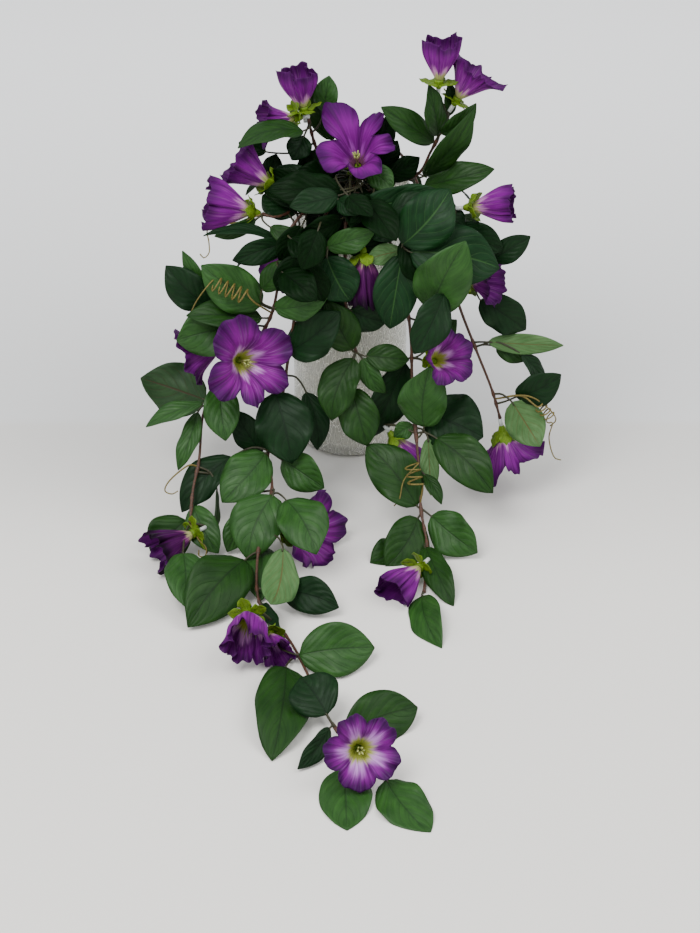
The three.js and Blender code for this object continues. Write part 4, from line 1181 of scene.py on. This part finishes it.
# %% [markdown]
# ## Growing a spray
# A leaf moves nearer or further along its sight line, so that it keeps its place in the picture, until it
# crosses none of the blades and corollas so far, nor the vase's wall. Where no place is free, it takes the
# one where it crosses least. Only the middle sheets are compared, without the two rows at a blade's foot.
# Stems, petioles, calyces and tendrils aren't compared with anything. So leaves and stems can pass through
# them, and the number printed as crossing leaves them out.

# %%
NEAR = 0.0005            # metres: sheets that come nearer to one another count as crossing
WALL_ROOM = 0.5          # mm from a leaf's middle sheet to the glass
SHELL_SIDES = 64
FOOT_ROWS = 2
PUSHES = (0, 5, -5, 10, -10, 16, -16, 23, -23, 31, -31, 40, -40)    # mm along the sight line
FOOT_SHARES = (0.35, 1)  # how much of a push the leaf's foot takes
DEEP_ROLL = 1.6
WIDE_LEAF = 40
WIDE_ROLL = 0.4
STEM_SLOTS = {"stem": 0, "petiole": 1, "stub": 2}


class Room:
    """The sheets placed so far, for counting how often a new one would cross them."""

    def __init__(self):
        self.items = []

    def measured(self, rows, closed=False):
        grid = np.array(rows, float)
        count, width = grid.shape[:2]
        points = grid.reshape(-1, 3)
        spans = width if closed else width - 1

        def corner(r, c):
            return r * width + c % width

        faces = [
            (corner(r, c), corner(r, c + 1), corner(r + 1, c + 1), corner(r + 1, c))
            for r in range(count - 1) for c in range(spans)
        ]
        tree = BVHTree.FromPolygons([tuple(p) for p in points], faces, epsilon=NEAR)
        return tree, points.min(axis=0) - NEAR, points.max(axis=0) + NEAR

    def crossings(self, candidate):
        tree, low, high = candidate
        return sum(len(tree.overlap(other)) for other, other_low, other_high in self.items
                   if (low <= other_high).all() and (other_low <= high).all())

    def keep(self, item):
        self.items.append(item)


def vase_shell():
    """The vase's wall and lip as one sheet up the inside and down the outside, with a little room."""
    outer = vase_high.x + WALL_ROOM * MM
    inner = vase_high.x - (VASE["lip"] + VASE["wall"] + WALL_ROOM) * MM
    top = vase_high.z + WALL_ROOM * MM
    turns = [2 * math.pi * i / SHELL_SIDES for i in range(SHELL_SIDES)]
    profile = ((inner, VASE["base"] * MM), (inner, top), (outer, top), (outer, 0.0))
    return [
        [(across * math.cos(turn), across * math.sin(turn), up) for turn in turns]
        for across, up in profile
    ]


def pushed(point, distance):
    moved = point + (EYE - point).normalized() * (distance * MM)
    moved.z = max(moved.z, LIE * MM)
    return moved


def as_point(place):
    return place.copy() if isinstance(place, Vector) else seen(place)


def root_on(line, foot, along):
    """Where a petiole leaves the stem: near the foot, and so that it runs on into the blade."""
    def cost(point):
        run = foot - point
        kink = run.angle(along) if run.length > 1.2 * MM else 0.0
        return run.length / MM + 12 * kink ** 2 + (60 if kink > 1.3 else 0)
    return min(line[1:], key=cost)


def grow_leaf(room, line, spec, luck):
    """The rows of a blade, the path of its petiole, where that leaves the stem, and the crossings left."""
    foot_place, tip_place = as_point(spec["foot"]), as_point(spec["tip"])
    roll = luck.uniform(-1, 1) * BLADE["roll"]
    if spec["shade"] == "deep":
        roll *= DEEP_ROLL
    if spec["width"] > WIDE_LEAF:
        roll *= WIDE_ROLL
    state = luck.getstate()
    best = None
    for share in FOOT_SHARES:
        for push in PUSHES:
            foot, tip = pushed(foot_place, push * share), pushed(tip_place, push)
            luck.setstate(state)
            face = facing(spec, foot.lerp(tip, 0.5), roll)
            rows = blade_rows(foot, tip, face, spec["width"] * MM, spec["arch"], luck)
            measured = room.measured(rows[FOOT_ROWS:])
            count = room.crossings(measured)
            if best is None or count < best[0]:
                best = (count, rows, foot, tip, measured)
            if count == 0:
                break
        if best[0] == 0:
            break
    count, rows, foot, tip, measured = best
    room.keep(measured)
    along = (tip - foot).normalized()
    start = root_on(line, foot, along)
    elbow = foot - along * (foot - start).length * 0.45
    path = through([start, start.lerp(elbow, 0.6), foot, foot + along * 4 * MM], 9)
    return rows, path, start, count


def stem_line(spec):
    """From the head of the stalk, over the rim and through the listed places."""
    places = [as_point(p) for p in spec["stem"]]
    azimuth, ring = spec["root"]
    standing = heading(azimuth, 0)
    rise = ROOT["outer_rise"] if ring == "outer" else ROOT["inner_rise"]
    root = standing * ROOT[ring] * MM + UP * (stalk_high.z + ROOT["gap"] * MM)
    above = root + standing * 1.5 * MM
    above.z = stalk_high.z + rise * MM
    points = [root, above]
    if not spec.get("upright"):
        leaving = Vector((places[0].x, places[0].y, 0)).normalized() * ROOT["pass_radius"] * MM
        leaving.z = (above.z + places[0].z) / 2 + rise * MM / 2
        points.append(leaving)
    points.extend(places)
    length = sum((b - a).length for a, b in zip(points, points[1:]))
    return through(points, max(6, round(length / MM / STEM["step"])))


def nearest(line, place):
    return min(line[1:], key=lambda p: (p - place).length)


def add_stem(build, line, knots):
    """A stem that thins towards its tip and is thicker at each knot, where something leaves it."""
    radii = []
    for i, point in enumerate(line):
        share = i / (len(line) - 1)
        radius = STEM["radius"] + (STEM["tip"] - STEM["radius"]) * share
        near = min(((point - knot).length / MM for knot in knots), default=99)
        radii.append((radius + STEM["knot"] * max(0.0, 1 - near / STEM["knot_reach"])) * MM)
    build.add(*rod(line, radii, STEM["sides"], STEM_SLOTS["stem"], 0.0))


def add_rod(build, path, first, last, sides, slot, own=0.0):
    steps = len(path) - 1
    radii = [(first + (last - first) * i / steps) * MM for i in range(steps + 1)]
    build.add(*rod(path, radii, sides, slot, own))


def add_calyx(wood, green, line, spec, luck):
    """The pedicel, its grey stub, the cup and the sepals. Returns where the pedicel leaves the stem."""
    base = spec["base"]
    axis, _, _ = bloom_frame(base, spec["mouth"])
    seat = base - axis * CALYX["length"] * MM
    start = nearest(line, base)
    low = seat - axis * PEDICEL["run_in"] * MM
    span = (low - start).length
    path = through([start, start.lerp(low, 0.5) + UP * span * 0.1, low, seat], 12)
    add_rod(wood, path, PEDICEL["root"], PEDICEL["tip"], PETIOLE["sides"], STEM_SLOTS["petiole"])
    add_rod(wood, [low, seat + axis * 1 * MM], STUB["root"], STUB["tip"], STUB["sides"], STEM_SLOTS["stub"])
    heights = [base + axis * height * MM for height, _ in CUP]
    radii = [radius * MM for _, radius in CUP]
    green.add(*rod(heights, radii, CALYX["cup_sides"], 0, luck.random()))
    for number in range(CALYX["sepals"]):
        foot, tip, face = sepal_place(spec, number, luck)
        rows = blade_rows(foot, tip, face, CALYX["sepal_width"] * MM, CALYX["sepal_arch"], luck)
        green.add(*grid_sheet(rows, CALYX["sepal_thickness"] * MM, (0, 0), luck.random()))
    return start


def add_stamens(build, spec, luck):
    axis, side, over = bloom_frame(spec["base"], spec["mouth"])
    radii = [radius * MM for radius in STAMEN["radii"]]
    last = len(radii) - 1
    for number in range(STAMEN["count"]):
        turn = number * 2 * math.pi / STAMEN["count"]
        out = side * math.cos(turn) + over * math.sin(turn)
        reach = spec["length"] * luck.uniform(0.5, 0.66) * MM
        path = [
            spec["base"] + axis * (reach * i / last) + out * (0.5 + 2.6 * (i / last) ** 2) * MM
            for i in range(last + 1)
        ]
        build.add(*rod(path, radii, STAMEN["sides"], 1, 0.0))


def tendril_path(line, spec):
    if "coil" not in spec:
        points = [nearest(line, seen(spec["path"][0]))] + [seen(p) for p in spec["path"][1:]]
        return through(points, len(points) * 5)
    start, finish = seen(spec["coil"][0]), seen(spec["coil"][1])
    axis = finish - start
    side = axis.cross(UP).normalized()
    over = side.cross(axis).normalized()
    points = [nearest(line, seen(spec["path"][0]))] + [seen(p) for p in spec["path"][1:-1]]
    steps = spec["turns"] * TENDRIL["steps_per_turn"]
    for i in range(steps + 1):
        turn = 2 * math.pi * i / TENDRIL["steps_per_turn"]
        out = side * math.cos(turn) + over * math.sin(turn)
        points.append(start + axis * (i / steps) + out * spec["radius"] * MM)
    points.extend(seen(p) for p in spec["tail"])
    return through(points, round(len(points) * 2.2))


def shade_of(spec, middle, luck):
    """As listed. Otherwise leaves in the crown get painted shade, dark or deep, and the others are drawn by
    lot.
    """
    if spec["shade"] in SHADES:
        return spec["shade"]
    crown = middle.z > 0.2 and math.hypot(middle.x, middle.y) < 0.13
    draw = luck.random()
    if crown:
        return "deep" if draw < 0.45 else "dark"
    return "mid" if draw < 0.4 else "moss" if draw < 0.7 else "dark"


SHADES = tuple(LEAF_SHADES)
room = Room()
room.keep(room.measured(vase_shell(), closed=True))
lines = {}
for name, spec in SPRAYS.items():
    lines[name] = stem_line(spec)
    for bloom_spec in spec.get("blooms", []):
        bloom_spec["base"] = as_point(bloom_spec["base"])
        bloom_spec["mouth"] = as_point(bloom_spec["mouth"])


def grow_blooms(name, spec, wood, green):
    """A spray's blooms. Returns where their pedicels leave the stem."""
    knots = []
    for number, bloom_spec in enumerate(spec.get("blooms", []), 1):
        luck = random.Random(f"{name} bloom {number}")
        knots.append(add_calyx(wood, green, lines[name], bloom_spec, luck))
        if bloom_spec["open"] > 0.8:
            add_stamens(green, bloom_spec, luck)
        rows = corolla_rows(bloom_spec, luck)
        lobes = len(rows[0]) // PETAL["per_lobe"]
        room.keep(room.measured([list(r) for r in rows], closed=True))
        petals = Build()
        petals.add(*grid_sheet(rows, PETAL["thickness"] * MM, (1, 0), luck.random(), lobes))
        inside = petal_prints[bloom_spec["form"].get("printed", "inside")]
        outside = petal_prints[bloom_spec["form"].get("skin", "outside")]
        made = petals.to_object(f"petals_{name}_{number}", [inside, outside])
        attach(made, "root")
        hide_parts(f"corolla_{name}_{number}")
    return knots


def grow_leaves(name, spec, wood):
    """A spray's leaves. Returns where their petioles leave the stem, and how many found no free place."""
    blades = Build()
    knots = []
    crossing = 0
    for number, leaf_spec in enumerate(spec["leaves"], 1):
        luck = random.Random(f"{name} leaf {number}")
        rows, path, start, count = grow_leaf(room, lines[name], leaf_spec, luck)
        crossing += count > 0
        middle = rows[len(rows) // 2][len(rows[0]) // 2]
        upper = SHADES.index(shade_of(leaf_spec, middle, luck))
        under = len(SHADES) + (leaf_spec["shade"] == "pale")
        blades.add(*grid_sheet(rows, BLADE["thickness"] * MM, (upper, under), luck.random()))
        add_rod(wood, path, PETIOLE["root"], PETIOLE["tip"], PETIOLE["sides"], STEM_SLOTS["petiole"])
        knots.append(start)
    made = blades.to_object(f"leaves_{name}", leaf_upper + leaf_under)
    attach(made, "root")
    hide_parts(f"spray_{name}")
    return knots, crossing


woods = {name: Build() for name in SPRAYS}
knots = {}
for name, spec in SPRAYS.items():
    green = Build()
    knots[name] = grow_blooms(name, spec, woods[name], green)
    if green.points:
        made = green.to_object(f"calyces_{name}", [sepal_cloth, stamen_plastic])
        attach(made, "root")
    coils = Build()
    for tendril in spec.get("tendrils", []):
        path = tendril_path(lines[name], tendril)
        add_rod(coils, path, TENDRIL["root"], TENDRIL["tip"], TENDRIL["sides"], 0)
    if coils.points:
        made = coils.to_object(f"tendrils_{name}", [tendril_wire])
        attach(made, "root")
for name, spec in SPRAYS.items():
    leaf_knots, crossing = grow_leaves(name, spec, woods[name])
    add_stem(woods[name], lines[name], knots[name] + leaf_knots)
    made = woods[name].to_object(f"stems_{name}", [stem_wire, petiole_wire, stub_plastic])
    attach(made, "root")
    print(name, "leaves", len(spec["leaves"]), "crossing", crossing)

# %% [markdown]
# ## Vase and stalk

# %%
def lathe(name, outline_points, sides, material):
    points, faces = [], []
    count = len(outline_points)
    for s in range(sides):
        turn = 2 * math.pi * s / sides
        for across, up in outline_points:
            points.append((across * math.cos(turn), across * math.sin(turn), up))
    for s in range(sides):
        for i in range(count):
            a, b = s * count + i, s * count + (i + 1) % count
            c, d = ((s + 1) % sides) * count + (i + 1) % count, ((s + 1) % sides) * count + i
            faces.append((a, d, c, b))
    mesh = bpy.data.meshes.new(name)
    mesh.from_pydata(points, [], faces)
    mesh.materials.append(material)
    mesh.polygons.foreach_set("use_smooth", [True] * len(mesh.polygons))
    mesh.set_sharp_from_angle(angle=math.radians(35))
    made = bpy.data.objects.new(name, mesh)
    bpy.context.scene.collection.objects.link(made)
    return made


def arc(centre, radius, first, last, steps):
    return [(centre[0] + radius * math.cos(first + (last - first) * i / steps),
             centre[1] + radius * math.sin(first + (last - first) * i / steps)) for i in range(steps + 1)]


def vase_outline():
    """Straight wall, rounded foot, slightly flared lip with a melted round edge."""
    lip = vase_high.x
    outer = lip - VASE["lip"] * MM
    top = vase_high.z
    names = ("wall", "base", "corner", "inner_corner", "neck")
    wall, base, corner, inner, neck = (VASE[name] * MM for name in names)
    tiny = 0.4 * MM
    points = [(tiny, 0.0)]
    points += arc((outer - corner, corner), corner, -math.pi / 2, 0, 8)
    points += [(outer, top - neck), (lip - 0.6 * MM, top - neck / 3)]
    points += arc((lip - wall / 2, top - wall / 2), wall / 2, 0, math.pi, 8)
    points += [(outer - wall, top - neck)]
    points += arc((outer - wall - inner, base + inner), inner, 0, -math.pi / 2, 6)
    points += [(tiny, base)]
    return points


vase = lathe("vase_glass", vase_outline(), VASE["sides"], glass)
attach(vase, "root")
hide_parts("vase")


def grow_stalk():
    """The bound stems: a bunch of twisted wires around a straight one, from the vase's floor to the head.
    The lift keeps their slanting ends out of the floor."""
    across, back = STALK["foot"]
    foot = Vector((across * MM, back * MM, stalk_low.z + STALK["lift"] * MM))
    head = Vector((0, 0, stalk_high.z))
    build = Build()
    straight = STALK["strands"] - 1
    for strand in range(STALK["strands"]):
        path = []
        for i in range(STALK["steps"] + 1):
            share = i / STALK["steps"]
            turn = 2 * math.pi * (strand / straight + STALK["turns"] * share)
            ring = (STALK["ring"] + STALK["spread"] * max(0.0, share - 0.85) / 0.15) * MM
            if strand == straight:
                ring = 0.0
            path.append(foot.lerp(head, share) + Vector((math.cos(turn), math.sin(turn), 0)) * ring)
        radius = STALK["radius"]
        add_rod(build, path, radius, radius, STALK["sides"], 0, strand / STALK["strands"])
    made = build.to_object("bound_stems", [stem_wire])
    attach(made, "root")
    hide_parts("stalk")


grow_stalk()

# %% [markdown]
# ## Floor, light and camera

# %%
FLOOR_SIZE = 14          # metres
LIGHTS = {               # watts, then place, aim and size in metres
    "key": (70, (-0.9, -1.3, 2.4), (0, -0.15, 0.1), 1.4),
    "fill": (30, (1.6, -0.6, 2.0), (0, -0.1, 0.1), 1.6),
}
WORLD_COLOR = (0.86, 0.88, 0.9, 1)
WORLD_STRENGTH = 1.15
SENSOR = 36              # mm


def add_floor():
    """A pale surface that reads as a pale wall behind the vase."""
    material, graph, shader = new_material("floor_paper", rgb(222, 221, 219), 0.7)
    place = graph.add("ShaderNodeSeparateXYZ")
    graph.put(place.inputs[0], graph.add("ShaderNodeNewGeometry").outputs["Position"])
    # Darkest in a band along the vase's axis, fading out towards the camera and towards the back: painted shade
    # where the floor reads as the foot of the wall. Further back it whitens: painted light on the wall.
    wall = graph.band(place.outputs[1], 0.0, 0.02)
    fade = graph.band(place.outputs[1], -0.3, 0.0)
    near = graph.mix(fade, rgb(232, 229, 223), rgb(210, 208, 204))
    back = graph.mix(graph.band(place.outputs[1], 0.0, 1.0), rgb(214, 214, 213), rgb(255, 255, 255))
    graph.put(shader.inputs["Base Color"], graph.mix(wall, near, back))
    bpy.ops.mesh.primitive_plane_add(size=FLOOR_SIZE, location=(0, 0, 0))
    floor = bpy.context.object
    floor.name = "floor"
    floor.data.materials.append(material)


def add_light(name, watts, location, aim, size):
    data = bpy.data.lights.new(name, "AREA")
    data.energy = watts
    data.size = size
    made = bpy.data.objects.new(name, data)
    made.location = location
    made.rotation_euler = (Vector(aim) - Vector(location)).to_track_quat("-Z", "Y").to_euler()
    bpy.context.scene.collection.objects.link(made)


def add_camera():
    data = bpy.data.cameras.new("photo_camera")
    data.sensor_width = SENSOR
    data.lens = PICTURE["focal"] / PICTURE["height"] * data.sensor_width
    camera = bpy.data.objects.new("photo_camera", data)
    camera.location = EYE
    camera.rotation_euler = (math.pi / 2 - LOOK_DOWN, 0, 0)
    bpy.context.scene.collection.objects.link(camera)
    bpy.context.scene.camera = camera


add_floor()
for name, settings in LIGHTS.items():
    add_light(name, *settings)
world = bpy.data.worlds.new("soft_room")
world.use_nodes = True
world.node_tree.nodes["Background"].inputs["Color"].default_value = WORLD_COLOR
world.node_tree.nodes["Background"].inputs["Strength"].default_value = WORLD_STRENGTH
bpy.context.scene.world = world
add_camera()
